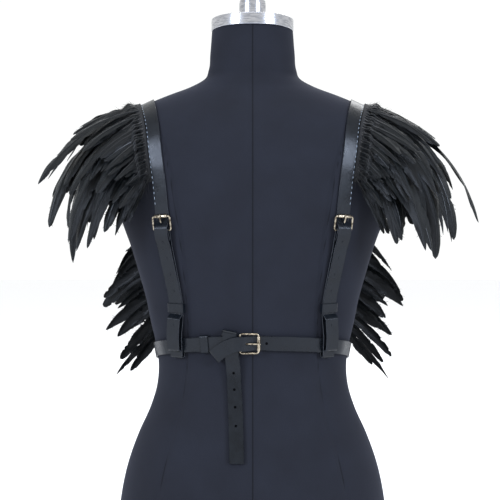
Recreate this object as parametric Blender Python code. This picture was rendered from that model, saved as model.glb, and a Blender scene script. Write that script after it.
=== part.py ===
# A leather strap harness with feather wings at the shoulders, on a limbless dress form.
# Metres, +Z up. The back of the garment faces -Y and its front +Y. The wearer's left is -X.
# The origin is the middle of the form's flat underside.
import math

import bmesh
import bpy
import numpy as np

# Leather and metal sizes
LEATHER = 0.0018
STRAP_WIDTH = 0.017
HOLE_PITCH = 0.020
HOLE_RADIUS = 0.0016
WIRE_RADIUS = 0.0011
ROLLER_RADIUS = 0.0020
PRONG_RADIUS = 0.0009
GAP = 0.0003
SNUG = 0.0005

# How far the middle of each layer stands off the form, from the form outwards
LAYER_BODY = LEATHER / 2 + SNUG
LAYER_BELT = LAYER_BODY + 0.0031
LAYER_FRONT = LAYER_BELT + 0.0023
LAYER_TAIL = LAYER_FRONT + 0.0023
FOLD_RADIUS = WIRE_RADIUS + GAP + LEATHER / 2

# The dress form, a row for each level from the flat underside to the top of the neck
# columns: height, half width, back depth, front depth, squareness
FORM_LEVELS = np.array((
    (0.000, 0.1650, 0.116, 0.097, 2.15),
    (0.045, 0.1665, 0.120, 0.100, 2.15),
    (0.086, 0.1635, 0.119, 0.101, 2.15),
    (0.136, 0.1535, 0.111, 0.100, 2.12),
    (0.171, 0.1410, 0.101, 0.097, 2.10),
    (0.204, 0.1262, 0.091, 0.092, 2.08),
    (0.229, 0.1186, 0.084, 0.088, 2.05),
    (0.260, 0.1165, 0.080, 0.086, 2.05),
    (0.283, 0.1200, 0.081, 0.088, 2.08),
    (0.310, 0.1262, 0.084, 0.093, 2.12),
    (0.335, 0.1311, 0.087, 0.100, 2.15),
    (0.360, 0.1380, 0.090, 0.107, 2.18),
    (0.403, 0.1510, 0.096, 0.112, 2.20),
    (0.434, 0.1620, 0.100, 0.111, 2.25),
    (0.470, 0.1700, 0.102, 0.104, 2.30),
    (0.505, 0.1730, 0.102, 0.094, 2.30),
    (0.535, 0.1700, 0.097, 0.083, 2.25),
    (0.557, 0.1590, 0.088, 0.074, 2.20),
    (0.573, 0.1380, 0.076, 0.066, 2.15),
    (0.586, 0.1090, 0.065, 0.059, 2.10),
    (0.597, 0.0800, 0.056, 0.054, 2.05),
    (0.608, 0.0600, 0.051, 0.051, 2.00),
    (0.620, 0.0545, 0.0500, 0.0500, 2.00),
    (0.640, 0.0525, 0.0495, 0.0495, 2.00),
    (0.668, 0.0503, 0.0490, 0.0490, 2.00),
))
FORM_SIDES = 36
FORM_RINGS = 38
BUST_HEIGHT, BUST_SIDE, BUST_SPREAD, BUST_RISE = 0.432, 0.074, 0.050, 0.024

# Neck cap and knob
CAP_RADIUS = 0.0510
CAP_BAND_HEIGHT = 0.0145
CAP_CROWN_RISE = 0.006
KNOB_RADIUS = 0.0165
KNOB_HEIGHT = 0.026

# The middle of a shoulder strap, up the back and down the front
# columns: height, sideways
COURSE_BACK = np.array((
    (0.240, 0.0850), (0.285, 0.0868), (0.300, 0.0875), (0.335, 0.0885), (0.370, 0.0945), (0.408, 0.1015),
    (0.437, 0.1050), (0.474, 0.1087), (0.511, 0.1135), (0.545, 0.1185), (0.580, 0.1290),
))
COURSE_FRONT = np.array((
    (0.220, 0.0880), (0.260, 0.0900), (0.300, 0.0920), (0.380, 0.0990), (0.440, 0.1060), (0.500, 0.1150),
    (0.540, 0.1225), (0.580, 0.1290),
))
COURSE_LOW = 0.244
COURSE_TURN = 0.500

# The waist belt lies in a plane that dips from the back to the front
BELT_MIDDLE = 0.2725
BELT_DIP = 0.194
BELT_SLANT = 0.0032

# Heights and places of the fastenings
SHOULDER_BUCKLE_HEIGHT = 0.4290
SHOULDER_BUCKLE_LENGTH = 0.0190
SHOULDER_BUCKLE_WIDTH = 0.0250
BELT_BUCKLE_PLACE = -0.0038
BELT_BUCKLE_LENGTH = 0.0239
BELT_BUCKLE_WIDTH = 0.0250
STRAP_KEEPER_HEIGHT = 0.3295
STRAP_KEEPER_LENGTH = 0.0110
BELT_KEEPER_PLACE = -0.0560
BELT_KEEPER_LENGTH = 0.0090
KEEPER_WALL = 0.0012
SHORT_END = 0.012
TAIL_BULGE = 0.0036
TAIL_CURL = 0.0032
TAIL_BELOW = 0.0048

# Feather tapes
TAPE_WIDTH = 0.007
TAPE_WALL = 0.0012
ROOT_WIDTH = 0.0042
LOUVRE = math.radians(12)
END_LIFT = 1.6
TAPE_INSET = 0.005
LONG_BLADE = 0.17
ROOM = 0.0042
ROOM_STEP = 0.0080
ROOM_AT_ROOT = 1.1
TOP_ROOM = (1.0, 1.0, 0.62)


def smooth(at, known, values):
    """A cubic through the table's points, each slope taken from its neighbours."""
    at = np.atleast_1d(np.asarray(at, float))
    at = np.clip(at, known[0], known[-1])
    slope = np.gradient(values, known, axis=0)
    left = np.clip(np.searchsorted(known, at, side="right") - 1, 0, len(known) - 2)
    step = known[left + 1] - known[left]
    u = (at - known[left]) / step
    if values.ndim == 2:
        u = u[:, None]
        step = step[:, None]
    return ((1 + 2 * u) * (1 - u) ** 2 * values[left] + u * (1 - u) ** 2 * step * slope[left]
            + u * u * (3 - 2 * u) * values[left + 1] + u * u * (u - 1) * step * slope[left + 1])


def unit(vectors):
    return vectors / np.maximum(np.linalg.norm(vectors, axis=-1, keepdims=True), 1e-12)


def ease(value, start, end):
    """0 before start, 1 after end and smooth between."""
    u = np.clip((value - start) / (end - start), 0.0, 1.0)
    return u * u * (3 - 2 * u)


# The dress form's surface

def bust_rise(x, y, z):
    """The extra depth of the front at the bust."""
    side = np.exp(-((np.abs(x) - BUST_SIDE) / BUST_SPREAD) ** 2)
    level = np.exp(-((z - BUST_HEIGHT) / BUST_SPREAD) ** 2)
    return BUST_RISE * side * level * ease(y, 0.0, 0.07)


def form_level(p):
    """Above 0 outside the form, below 0 inside it."""
    x, y, z = p[:, 0], p[:, 1], p[:, 2]
    half, back, front, square = smooth(z, FORM_LEVELS[:, 0], FORM_LEVELS[:, 1:]).T
    y = y - bust_rise(x, y, z)
    depth = np.where(y < 0, back, front)
    return (np.abs(x) / half) ** square + (np.abs(y) / depth) ** square - 1


def form_normal(p):
    """The outward direction of the form's surface."""
    small = 2e-4
    slopes = [form_level(p + small * axis) - form_level(p - small * axis) for axis in np.eye(3)]
    return unit(np.stack(slopes, axis=1))


def seat(origin, direction):
    """Where rays that start inside the form meet its surface, by halving."""
    near = np.zeros(len(origin))
    far = np.full(len(origin), 0.25)
    for _ in range(36):
        middle = (near + far) / 2
        outside = form_level(origin + middle[:, None] * direction) > 0
        far = np.where(outside, middle, far)
        near = np.where(outside, near, middle)
    return origin + far[:, None] * direction


def on_back(x, z):
    """Points of the form's back at the sideways places x and heights z."""
    x, z = np.broadcast_arrays(np.asarray(x, float), np.asarray(z, float))
    origin = np.stack((x, np.zeros_like(x), z), axis=1)
    return seat(origin, np.tile((0.0, -1.0, 0.0), (len(x), 1)))


class Course:
    """A line on the form with its distance along, outward normals and crosswise directions."""

    def __init__(self, points, closed=False):
        self.closed = closed
        self.points = points
        steps = np.linalg.norm(np.diff(points, axis=0), axis=1)
        self.along = np.concatenate(((0.0,), np.cumsum(steps)))
        self.total = self.along[-1]
        self.normal = form_normal(points)
        heading = unit(np.gradient(points, self.along, axis=0))
        self.across = unit(np.cross(heading, self.normal))

    def take(self, values, s):
        s = np.asarray(s, float)
        if self.closed:
            s = np.mod(s, self.total)
        return np.stack([np.interp(s, self.along, values[:, k]) for k in range(3)], axis=1)

    def lift(self, s, off):
        """Points at the distances s, off metres above the form, with their crosswise directions."""
        centre = self.take(self.points, s) + np.asarray(off)[:, None] * unit(self.take(self.normal, s))
        return centre, unit(self.take(self.across, s))


def shoulder_course():
    """The right strap's line: up the back, over the shoulder and down the front."""
    rise = np.arange(COURSE_LOW, COURSE_TURN, 0.001)
    back = on_back(smooth(rise, COURSE_BACK[:, 0], COURSE_BACK[:, 1]), rise)
    angle = np.linspace(0.0, math.pi, 240)
    guess = COURSE_TURN + 0.080 * np.sin(angle)
    behind = smooth(guess, COURSE_BACK[:, 0], COURSE_BACK[:, 1])
    before = smooth(guess, COURSE_FRONT[:, 0], COURSE_FRONT[:, 1])
    sideways = np.where(angle < math.pi / 2, behind, before)
    origin = np.stack((sideways, 0 * angle, 0 * angle + COURSE_TURN), axis=1)
    arc = seat(origin, np.stack((0 * angle, -np.cos(angle), np.sin(angle)), axis=1))
    fall = rise[::-1]
    origin = np.stack((smooth(fall, COURSE_FRONT[:, 0], COURSE_FRONT[:, 1]), 0 * fall, fall), axis=1)
    front = seat(origin, np.tile((0.0, 1.0, 0.0), (len(fall), 1)))
    return Course(np.concatenate((back, arc, front)))


def belt_course():
    """The belt's line round the waist, from the middle of the back towards +X and round the front."""
    angle = np.linspace(-math.pi / 2, 1.5 * math.pi, 721)
    direction = np.stack((np.cos(angle), np.sin(angle), 0 * angle), axis=1)
    height = np.full(len(angle), BELT_MIDDLE)
    for _ in range(6):
        origin = np.stack((0 * angle, 0 * angle, height), axis=1)
        points = seat(origin, direction)
        height = BELT_MIDDLE - BELT_DIP * points[:, 1]
    return Course(points, closed=True)


# Meshes

def material(name, colour, roughness, metallic=0.0):
    made = bpy.data.materials.new(name)
    made.use_nodes = True
    shader = made.node_tree.nodes["Principled BSDF"]
    shader.inputs["Base Color"].default_value = (*colour, 1.0)
    shader.inputs["Roughness"].default_value = roughness
    shader.inputs["Metallic"].default_value = metallic
    made.diffuse_color = (*colour, 1.0)
    return made


def solid(name, points, faces, finish):
    """A closed body whose faces are turned outwards."""
    mesh = bpy.data.meshes.new(name)
    mesh.from_pydata([tuple(p) for p in points], [], faces)
    shape = bmesh.new()
    shape.from_mesh(mesh)
    bmesh.ops.recalc_face_normals(shape, faces=shape.faces)
    if shape.calc_volume(signed=True) < 0:
        bmesh.ops.reverse_faces(shape, faces=shape.faces)
    shape.to_mesh(mesh)
    shape.free()
    mesh.materials.append(finish)
    mesh.shade_smooth()
    mesh.set_sharp_from_angle(angle=math.radians(40))
    made = bpy.data.objects.new(name, mesh)
    bpy.context.collection.objects.link(made)
    return made


def tube_faces(rings, sides, closed=False):
    """Faces of rings of points joined in turn, with capped ends unless the rings close."""
    faces = []
    spans = rings if closed else rings - 1
    for ring in range(spans):
        here = ring * sides
        there = (ring + 1) % rings * sides
        for side in range(sides):
            after = (side + 1) % sides
            faces.append((here + side, here + after, there + after, there + side))
    if not closed:
        faces.append(tuple(reversed(range(sides))))
        faces.append(tuple(range((rings - 1) * sides, rings * sides)))
    return faces


def kept_stations(points, across, turn=math.radians(9), reach=0.013):
    """The stations a strip needs: where it has turned or twisted by turn, or run by reach."""
    heading = unit(np.gradient(points, axis=0))
    kept = [0]
    for i in range(1, len(points) - 1):
        last = kept[-1]
        bend = math.acos(np.clip(heading[i] @ heading[last], -1, 1))
        twist = math.acos(np.clip(across[i] @ across[last], -1, 1))
        if max(bend, twist) > turn or np.linalg.norm(points[i] - points[last]) > reach:
            kept.append(i)
    kept.append(len(points) - 1)
    return kept


def strip(name, points, across, finish, width=STRAP_WIDTH, wall=LEATHER, mirrored=False, **spacing):
    """A flat strip of leather along points, as wide as width in the direction across."""
    heading = unit(np.gradient(points, axis=0))
    normal = unit(np.cross(heading, across))
    kept = kept_stations(points, across, **spacing)
    middle, side, out = points[kept], across[kept] * width / 2, normal[kept] * wall / 2
    rings = np.stack((middle - side - out, middle + side - out, middle + side + out, middle - side + out), axis=1)
    return solid(name, flip(rings.reshape(-1, 3), mirrored), tube_faces(len(kept), 4), finish)


def flip(points, mirrored):
    return points * np.array((-1.0, 1.0, 1.0)) if mirrored else points


def arc(centre_s, centre_off, radius, start, end, count=14):
    """Distances and offs along an arc, its angles counted from straight out, towards +s."""
    angle = np.radians(np.linspace(start, end, count))
    return centre_s + radius * np.sin(angle), centre_off + radius * np.cos(angle)


def run(stops, step=0.001):
    """Distances and offs eased between stops, a row each: distance, off."""
    stops = np.array(stops)
    pieces = []
    for (s0, off0), (s1, off1) in zip(stops[:-1], stops[1:]):
        count = max(4, int(abs(s1 - s0) / step))
        u = np.linspace(0, 1, count, endpoint=False)
        pieces.append(np.stack((s0 + (s1 - s0) * u, off0 + (off1 - off0) * ease(u, 0, 1)), axis=1))
    pieces.append(stops[-1:])
    both = np.concatenate(pieces)
    return both[:, 0], both[:, 1]


def joined(*parts):
    """Parts of a path, each a pair of distances and offs, laid end to end."""
    return np.concatenate([p[0] for p in parts]), np.concatenate([p[1] for p in parts])


def punch(strap, holes, finish):
    """Cuts round holes or slots: a row each of centre, normal, across, half length, half width."""
    points = []
    faces = []
    for centre, normal, across, half_length, half_width in holes:
        along = np.cross(normal, across)
        reach = 0.00125 if half_length == half_width else 0.0020
        for depth in (-reach, reach):
            for k in range(8):
                angle = math.tau * (k + 0.5) / 8
                points.append(centre + depth * normal + half_length * math.cos(angle) * along
                              + half_width * math.sin(angle) * across)
        base = len(points) - 16
        faces += [tuple(base + index for index in face) for face in tube_faces(2, 8)]
    cutter = solid(strap.name + "_cutter", points, faces, finish)
    cutter.hide_render = True
    cutter.display_type = "WIRE"
    cut = strap.modifiers.new("holes", "BOOLEAN")
    cut.operation = "DIFFERENCE"
    cut.object = cutter


# Buckles

class BucklePlace:
    """A buckle's own axes: along towards the roller, across the strap, and out from the form."""

    def __init__(self, course, s, length, width, bar_off):
        self.half_length = length / 2 - WIRE_RADIUS
        self.half_width = width / 2 - WIRE_RADIUS
        self.bar_off = bar_off
        bars, across = course.lift(s + self.half_length * np.array((-1, 1)), np.full(2, bar_off))
        self.along = unit(bars[1] - bars[0])
        side = across[0] + across[1]
        self.across = unit(side - (side @ self.along) * self.along)
        self.out = unit(np.cross(self.across, self.along))
        self.origin = (bars[0] + bars[1]) / 2 - bar_off * self.out

    def at(self, along, across, out):
        return (self.origin + np.multiply.outer(along, self.along) + np.multiply.outer(across, self.across)
                + np.multiply.outer(out, self.out))


def swept(name, points, radius, sides, finish, closed, mirrored, fixed):
    """A round wire along points; fixed is a direction that no part of the wire runs in."""
    points = np.asarray(points)
    if closed:
        heading = unit(np.roll(points, -1, axis=0) - np.roll(points, 1, axis=0))
    else:
        heading = unit(np.gradient(points, axis=0))
    first = unit(np.cross(heading, fixed))
    second = np.cross(heading, first)
    angle = math.tau * (np.arange(sides) + 0.5) / sides
    radius = np.broadcast_to(radius, len(points))[:, None, None]
    rings = points[:, None] + radius * (np.cos(angle)[None, :, None] * first[:, None]
                                        + np.sin(angle)[None, :, None] * second[:, None])
    return solid(name, flip(rings.reshape(-1, 3), mirrored), tube_faces(len(points), sides, closed), finish)


def buckle(prefix, suffix, place, finish, mirrored):
    """A wire frame with a roller on its end bar and a prong from its heel bar."""
    corner = 0.0028
    turns = np.radians(np.linspace(0, 90, 4))
    outline = []
    for quarter, (sign_u, sign_v) in enumerate(((1, 1), (-1, 1), (-1, -1), (1, -1))):
        angle = turns + quarter * math.pi / 2
        outline += [((place.half_length - corner) * sign_u + corner * math.cos(a),
                     (place.half_width - corner) * sign_v + corner * math.sin(a)) for a in angle]
    outline = np.array(outline)
    wire = place.at(outline[:, 0], outline[:, 1], np.full(len(outline), place.bar_off))
    swept(prefix + "_frame" + suffix, wire, WIRE_RADIUS, 6, finish, True, mirrored, place.out)

    bar = place.half_length
    reach = place.half_width - corner - GAP
    angle = math.tau * (np.arange(10) + 0.5) / 10
    rings = []
    for radius, end in ((ROLLER_RADIUS, -reach), (ROLLER_RADIUS, reach),
                        (WIRE_RADIUS + GAP, reach), (WIRE_RADIUS + GAP, -reach)):
        rings.append(place.at(bar + radius * np.cos(angle), np.full(10, end),
                              place.bar_off + radius * np.sin(angle)))
    solid(prefix + "_roller" + suffix, flip(np.concatenate(rings), mirrored), tube_faces(4, 10, True), finish)

    root = -place.half_length + FOLD_RADIUS + LEATHER / 2 + GAP + 0.0003
    top = place.bar_off + ROLLER_RADIUS + GAP + PRONG_RADIUS
    u = np.array((root, root + 0.0015, bar - 0.0045, bar - 0.0010, bar + 0.0012, bar + 0.0024))
    w = np.array((place.bar_off, place.bar_off + 0.0002, top - 0.0006, top, top, top - 0.0004))
    thick = np.array((1.0, 1.0, 1.0, 1.0, 0.9, 0.6)) * PRONG_RADIUS
    swept(prefix + "_prong" + suffix, place.at(u, 0 * u, w), thick, 6, finish, False, mirrored, place.across)


def keeper(name, course, s, length, inner_off, outer_off, width, finish, mirrored):
    """A thin leather band round the straps at s, its inner and outer wall at the given offs."""
    half = width / 2
    walls = []
    for end in (s - length / 2, s + length / 2):
        centre, across = course.lift(np.array((end,)), np.zeros(1))
        normal = unit(course.take(course.normal, (end,)))
        for grow in (KEEPER_WALL / 2, -KEEPER_WALL / 2):
            for side, off in ((-1, inner_off - grow), (1, inner_off - grow),
                              (1, outer_off + grow), (-1, outer_off + grow)):
                walls.append(centre[0] + side * (half + grow) * across[0] + off * normal[0])
    walls = np.array(walls)
    order = np.concatenate((walls[0:4], walls[4:8], walls[12:16], walls[8:12]))
    solid(name, flip(order, mirrored), tube_faces(4, 4, True), finish)


# Shoulder straps

def course_places(course):
    """Two functions from a height to the distance along the shoulder course, at its back and at its front."""
    top = int(np.argmax(course.points[:, 2]))
    heights = course.points[:top, 2]

    def behind(height):
        return float(np.interp(height, heights, course.along[:top]))

    front_heights = course.points[top:, 2][::-1]
    front_along = course.along[top:][::-1]

    def before(height):
        return float(np.interp(height, front_heights, front_along))

    return behind, before


def shoulder_pieces(course, side, leather, metal):
    mirrored = side == "left"
    suffix = "_" + side
    behind, before = course_places(course)
    bar_off = LAYER_BODY + LEATHER / 2 + GAP + ROLLER_RADIUS + 0.0004
    place = BucklePlace(course, behind(SHOULDER_BUCKLE_HEIGHT), SHOULDER_BUCKLE_LENGTH,
                        SHOULDER_BUCKLE_WIDTH, bar_off)
    middle = behind(SHOULDER_BUCKLE_HEIGHT)
    heel = middle - place.half_length
    end_bar = middle + place.half_length
    belt_half = STRAP_WIDTH / 2
    above_belt = course.points[:, 2] + BELT_DIP * course.points[:, 1] - BELT_MIDDLE
    crossings = course.along[1:][np.sign(above_belt[1:]) != np.sign(above_belt[:-1])]
    belt_low = crossings[0] - belt_half - BELT_SLANT
    belt_front = crossings[-1] + 1.9 * BELT_SLANT
    keeper_s = behind(STRAP_KEEPER_HEIGHT)
    held_body = SNUG + KEEPER_WALL + GAP + LEATHER / 2
    held_tail = held_body + LEATHER + GAP

    over_fold = bar_off + FOLD_RADIUS + LEATHER + GAP + 0.0004
    bulge = LAYER_TAIL + TAIL_BULGE
    tail_low = crossings[0] - TAIL_BELOW + TAIL_CURL
    curl = arc(tail_low, bulge - TAIL_CURL, TAIL_CURL, -104, 0)
    path = joined(
        curl,
        run(((tail_low + 0.001, bulge), (tail_low + 0.013, bulge + 0.0003),
             (keeper_s - 0.0130, bulge - 0.0016), (keeper_s - 0.0068, held_tail),
             (keeper_s + 0.0068, held_tail), (heel - SHORT_END - 0.012, held_tail + 0.0016),
             (heel - 0.004, over_fold), (heel + 0.002, over_fold - 0.0003),
             (end_bar - 0.002, LAYER_BODY), (end_bar + 0.010, LAYER_BODY))),
        run(((end_bar + 0.011, LAYER_BODY), (belt_front - 0.040, LAYER_BODY),
             (belt_front - belt_half - 0.004, LAYER_FRONT), (belt_front + belt_half, LAYER_FRONT))),
        arc(belt_front + belt_half + 0.0006, LAYER_BELT, LAYER_FRONT - LAYER_BELT, 0, 180),
        run(((belt_front + belt_half, 2 * LAYER_BELT - LAYER_FRONT), (belt_front + belt_half - 0.007, LAYER_BODY),
             (belt_front - belt_half - 0.004, LAYER_BODY))),
    )
    centre, across = course.lift(*path)
    strap = strip("shoulder_strap" + suffix, centre, across, leather, mirrored=mirrored)

    holes = []
    heading = unit(np.gradient(centre, axis=0))
    first_hole = behind(0.4084)
    hole_places = [(first_hole - HOLE_PITCH * k, HOLE_RADIUS, HOLE_RADIUS) for k in range(6)
                   if abs(first_hole - HOLE_PITCH * k - keeper_s) > 0.008]
    hole_places.append((middle + 0.0002, 0.0034, HOLE_RADIUS))
    for s, half_length, half_width in hole_places:
        i = int(np.argmin(np.abs(path[0] - s) + (np.arange(len(path[0])) < 14) * 1.0))
        normal = unit(np.cross(heading[i], across[i]))
        sign = np.array((-1.0, 1.0, 1.0)) if mirrored else np.ones(3)
        holes.append((centre[i] * sign, normal * sign, across[i] * sign, half_length, half_width))
    punch(strap, holes, leather)

    inner = bar_off - FOLD_RADIUS
    path = joined(
        run(((heel - SHORT_END, inner + LEATHER + GAP + 0.0008), (heel - 0.0005, bar_off + FOLD_RADIUS))),
        arc(heel, bar_off, FOLD_RADIUS, 0, 180),
        run(((heel - 0.001, inner), (heel - 0.010, held_body - 0.0004), (keeper_s, held_body),
             (keeper_s - 0.009, held_body), (belt_low + 2 * belt_half + 0.0030, LAYER_FRONT),
             (belt_low + 0.0002, LAYER_FRONT))),
        arc(belt_low, LAYER_BELT, LAYER_FRONT - LAYER_BELT, 0, -180),
        run(((belt_low + 0.0005, 2 * LAYER_BELT - LAYER_FRONT), (belt_low + 0.007, LAYER_BODY),
             (belt_low + 2 * belt_half + 0.0025, LAYER_BODY))),
    )
    centre, across = course.lift(*path)
    strip("buckle_strap" + suffix, centre, across, leather, mirrored=mirrored)

    keeper("strap_keeper" + suffix, course, keeper_s, STRAP_KEEPER_LENGTH, SNUG + KEEPER_WALL / 2,
           held_tail + LEATHER / 2 + GAP + KEEPER_WALL / 2, STRAP_WIDTH + 0.0020, leather, mirrored)
    buckle("shoulder_buckle", suffix, place, metal, mirrored)


# Waist belt

def belt_pieces(course, leather, metal):
    """The belt, its buckle and keeper; its tail is knotted once round it and hangs."""
    bar_off = LAYER_BELT + 0.0018
    place = BucklePlace(course, BELT_BUCKLE_PLACE, BELT_BUCKLE_LENGTH, BELT_BUCKLE_WIDTH, bar_off)
    heel = BELT_BUCKLE_PLACE - place.half_length
    end_bar = BELT_BUCKLE_PLACE + place.half_length
    under_roller = bar_off - ROLLER_RADIUS - GAP - LEATHER / 2 - 0.0002
    over_fold = bar_off + FOLD_RADIUS + LEATHER + GAP
    round_end = end_bar - course.total

    def belt_off(s):
        """The belt stands off where straps loop round it, and lies close at the sides."""
        x = np.abs(course.take(course.points, s)[:, 0])
        return LAYER_BELT + (LAYER_BODY + 0.0006 - LAYER_BELT) * ease(x, 0.1015, 0.1150)

    round_s = np.linspace(heel - 0.012, round_end + 0.016, 560)
    path = joined(
        run(((heel - 0.0012, bar_off + FOLD_RADIUS), (heel - 0.0002, bar_off + FOLD_RADIUS))),
        arc(heel, bar_off, FOLD_RADIUS, 0, 180),
        run(((heel - 0.001, bar_off - FOLD_RADIUS), (heel - 0.011, LAYER_BELT))),
        (round_s, belt_off(round_s)),
        run(((round_end + 0.015, LAYER_BELT), (round_end + 0.004, under_roller),
             (round_end - 0.003, under_roller), (round_end - 0.0205, over_fold),
             (round_end - 0.024, over_fold))),
    )
    round_centre, round_across = course.lift(*path)

    # columns: sideways, height, off, slant of the crosswise direction in degrees from upright
    crossing = np.array((
        (-0.0205, 0.2876, over_fold - 0.0002, 7.0),
        (-0.0250, 0.2858, over_fold - 0.0010, 20.0),
        (-0.0310, 0.2826, LAYER_TAIL + 0.0004, 32.0),
        (-0.0370, 0.2782, LAYER_TAIL, 38.0),
        (-0.0412, 0.2744, LAYER_TAIL, 42.0),
    ))
    behind = np.array((
        (-0.0400, 0.2755, LAYER_BODY, 42.0),
        (-0.0362, 0.2800, LAYER_BODY, 52.0),
        (-0.0320, 0.2870, LAYER_BODY, 63.0),
        (-0.0288, 0.2940, LAYER_BODY, 74.0),
        (-0.0268, 0.3000, LAYER_BODY + 0.0002, 80.0),
    ))
    hanging = np.array((
        (-0.0262, 0.3000, LAYER_FRONT, 80.0),
        (-0.0250, 0.2880, LAYER_FRONT, 84.0),
        (-0.0240, 0.2780, LAYER_FRONT, 86.0),
        (-0.0230, 0.2700, LAYER_FRONT - 0.0006, 87.0),
        (-0.0218, 0.2560, LAYER_BODY + 0.0030, 87.0),
        (-0.0210, 0.2350, LAYER_BODY + 0.0016, 88.0),
        (-0.0200, 0.2140, LAYER_BODY + 0.0012, 88.0),
        (-0.0192, 0.1920, LAYER_BODY + 0.0010, 88.0),
        (-0.0182, 0.1510, LAYER_BODY + 0.0012, 88.0),
    ))

    def dense(table, count):
        known = np.arange(len(table), dtype=float)
        return smooth(np.linspace(0, len(table) - 1, count), known, table)

    def half_turn(before, after):
        """The turned stretch between two runs, along the way that the first one was going."""
        angle = np.linspace(0, math.pi, 12)[1:-1]
        radius = abs(after[2] - before[2]) / 2
        slant = math.radians((before[3] + after[3]) / 2)
        way = np.array((-math.cos(slant), -math.sin(slant)))
        if after[2] > before[2]:
            way = np.array((0.15, 0.99))
        rows = []
        for a in angle:
            share = a / math.pi
            row = before + (after - before) * share
            row[2] = (before[2] + after[2]) / 2 + (before[2] - after[2]) / 2 * math.cos(a)
            row[0:2] += way * radius * math.sin(a)
            rows.append(row)
        return np.array(rows)

    rows = np.concatenate((dense(crossing, 30), half_turn(crossing[-1], behind[0]), dense(behind, 34),
                           half_turn(behind[-1], hanging[0]), dense(hanging, 120)))
    base = on_back(rows[:, 0], rows[:, 1])
    normal = form_normal(base)
    slant = np.radians(rows[:, 3])
    flat = np.stack((-np.sin(slant), 0 * slant, np.cos(slant)), axis=1)
    turned = unit(flat - np.sum(flat * normal, axis=1)[:, None] * normal)
    tail_centre = base + rows[:, 2:3] * normal
    sign = np.sign(np.sum(round_across[-1] * turned[0]))
    turned = turned * sign

    centre = np.concatenate((round_centre, tail_centre))
    across = np.concatenate((round_across, turned))
    belt = strip("waist_belt", centre, across, leather, turn=math.radians(8), reach=0.011)

    heading = unit(np.gradient(centre, axis=0))
    holes = []
    tail_start = len(round_centre)
    for height in (0.2531, 0.2328, 0.2129, 0.1924):
        i = tail_start + len(rows) - 120 + int(np.argmin(np.abs(rows[-120:, 1] - height)))
        holes.append((centre[i], unit(np.cross(heading[i], across[i])), across[i], HOLE_RADIUS, HOLE_RADIUS))
    for s, half_length in ((0.0160, HOLE_RADIUS), (BELT_BUCKLE_PLACE - 0.0017, 0.0042)):
        i = tail_start - 200 + int(np.argmin(np.abs(path[0][-200:] + course.total - s)))
        holes.append((centre[i], unit(np.cross(heading[i], across[i])), across[i], half_length, HOLE_RADIUS))
    punch(belt, holes, leather)

    keeper("belt_keeper", course, BELT_KEEPER_PLACE, BELT_KEEPER_LENGTH, SNUG + KEEPER_WALL / 2,
           LAYER_BELT + LEATHER / 2 + GAP + KEEPER_WALL / 2, STRAP_WIDTH + 0.0016, leather, False)
    buckle("belt_buckle", "", place, metal, False)


# Feathers

# The wing over the shoulder, from the back to the front
# columns: share of the tape, heading to the back, pitch at the root, pitch at the tip, length
WING_FAN = np.array((
    (0.00, 20.0, 54.0, 64.0, 0.062),
    (0.12, 22.0, 46.0, 72.0, 0.098),
    (0.26, 20.0, 35.0, 80.0, 0.150),
    (0.40, 15.0, 26.0, 84.0, 0.190),
    (0.55, 6.0, 20.0, 84.0, 0.205),
    (0.70, -8.0, 21.0, 84.0, 0.185),
    (0.85, -18.0, 26.0, 76.0, 0.140),
    (1.00, -26.0, 36.0, 64.0, 0.090),
))
# The fringe down the front strap, from the chest to the belt
FRONT_FAN = np.array((
    (0.00, -14.0, 34.0, 62.0, 0.100),
    (0.30, -10.0, 24.0, 50.0, 0.108),
    (0.60, -6.0, 20.0, 44.0, 0.106),
    (0.80, -4.0, 28.0, 52.0, 0.104),
    (1.00, -4.0, 44.0, 60.0, 0.104),
))
# Each tape, from the form outwards
# columns: layer, share of length, lift of the root pitch, blade width, feathers
WING_ROWS = np.array((
    (0, 1.00, 0.0, 0.018, 22),
    (1, 0.74, 9.0, 0.0165, 21),
    (2, 0.52, 18.0, 0.0135, 18),
))
FRONT_ROWS = np.array((
    (0, 1.00, 0.0, 0.0165, 12),
    (1, 0.76, 16.5, 0.0140, 11),
))
BLADE_PLACES = np.array((0.0, 0.16, 0.50, 0.82, 1.0))
BLADE_WIDTHS = np.array((0.0, 0.55, 1.00, 0.72, 0.0))
BLADE_WALLS = np.array((1.0, 1.1, 1.0, 0.8, 0.0)) * TAPE_WALL


def blade_line(root, heading, pitch_root, pitch_tip, length, rise, lift, count=24):
    """A feather's middle line: its pitch grows evenly, and it is turned by lift towards its face."""
    share = np.linspace(0, 1, count)
    pitch = np.radians(pitch_root + (pitch_tip - pitch_root) * share)
    turn = math.radians(heading)
    way = np.stack((np.cos(pitch) * math.cos(turn), -np.cos(pitch) * math.sin(turn), -np.sin(pitch)), axis=1)
    face = unit(rise - (way @ rise)[:, None] * way)
    way = way * math.cos(math.radians(lift)) + face * math.sin(math.radians(lift))
    steps = (way[1:] + way[:-1]) / 2 * length / (count - 1)
    return root + np.concatenate((np.zeros((1, 3)), np.cumsum(steps, axis=0)))


def clear_of_form(points, room):
    """Moves points that lie in the form, or nearer than room, straight out of it."""
    points = points.copy()
    for _ in range(12):
        level = form_level(points)
        normal = form_normal(points)
        small = 1e-3
        slope = (form_level(points + small * normal) - level) / small
        short = room - level / slope
        push = (short > 0) & (points[:, 2] < 0.60)
        points[push] += (normal * short[:, None])[push] * 0.8
    return points


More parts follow.
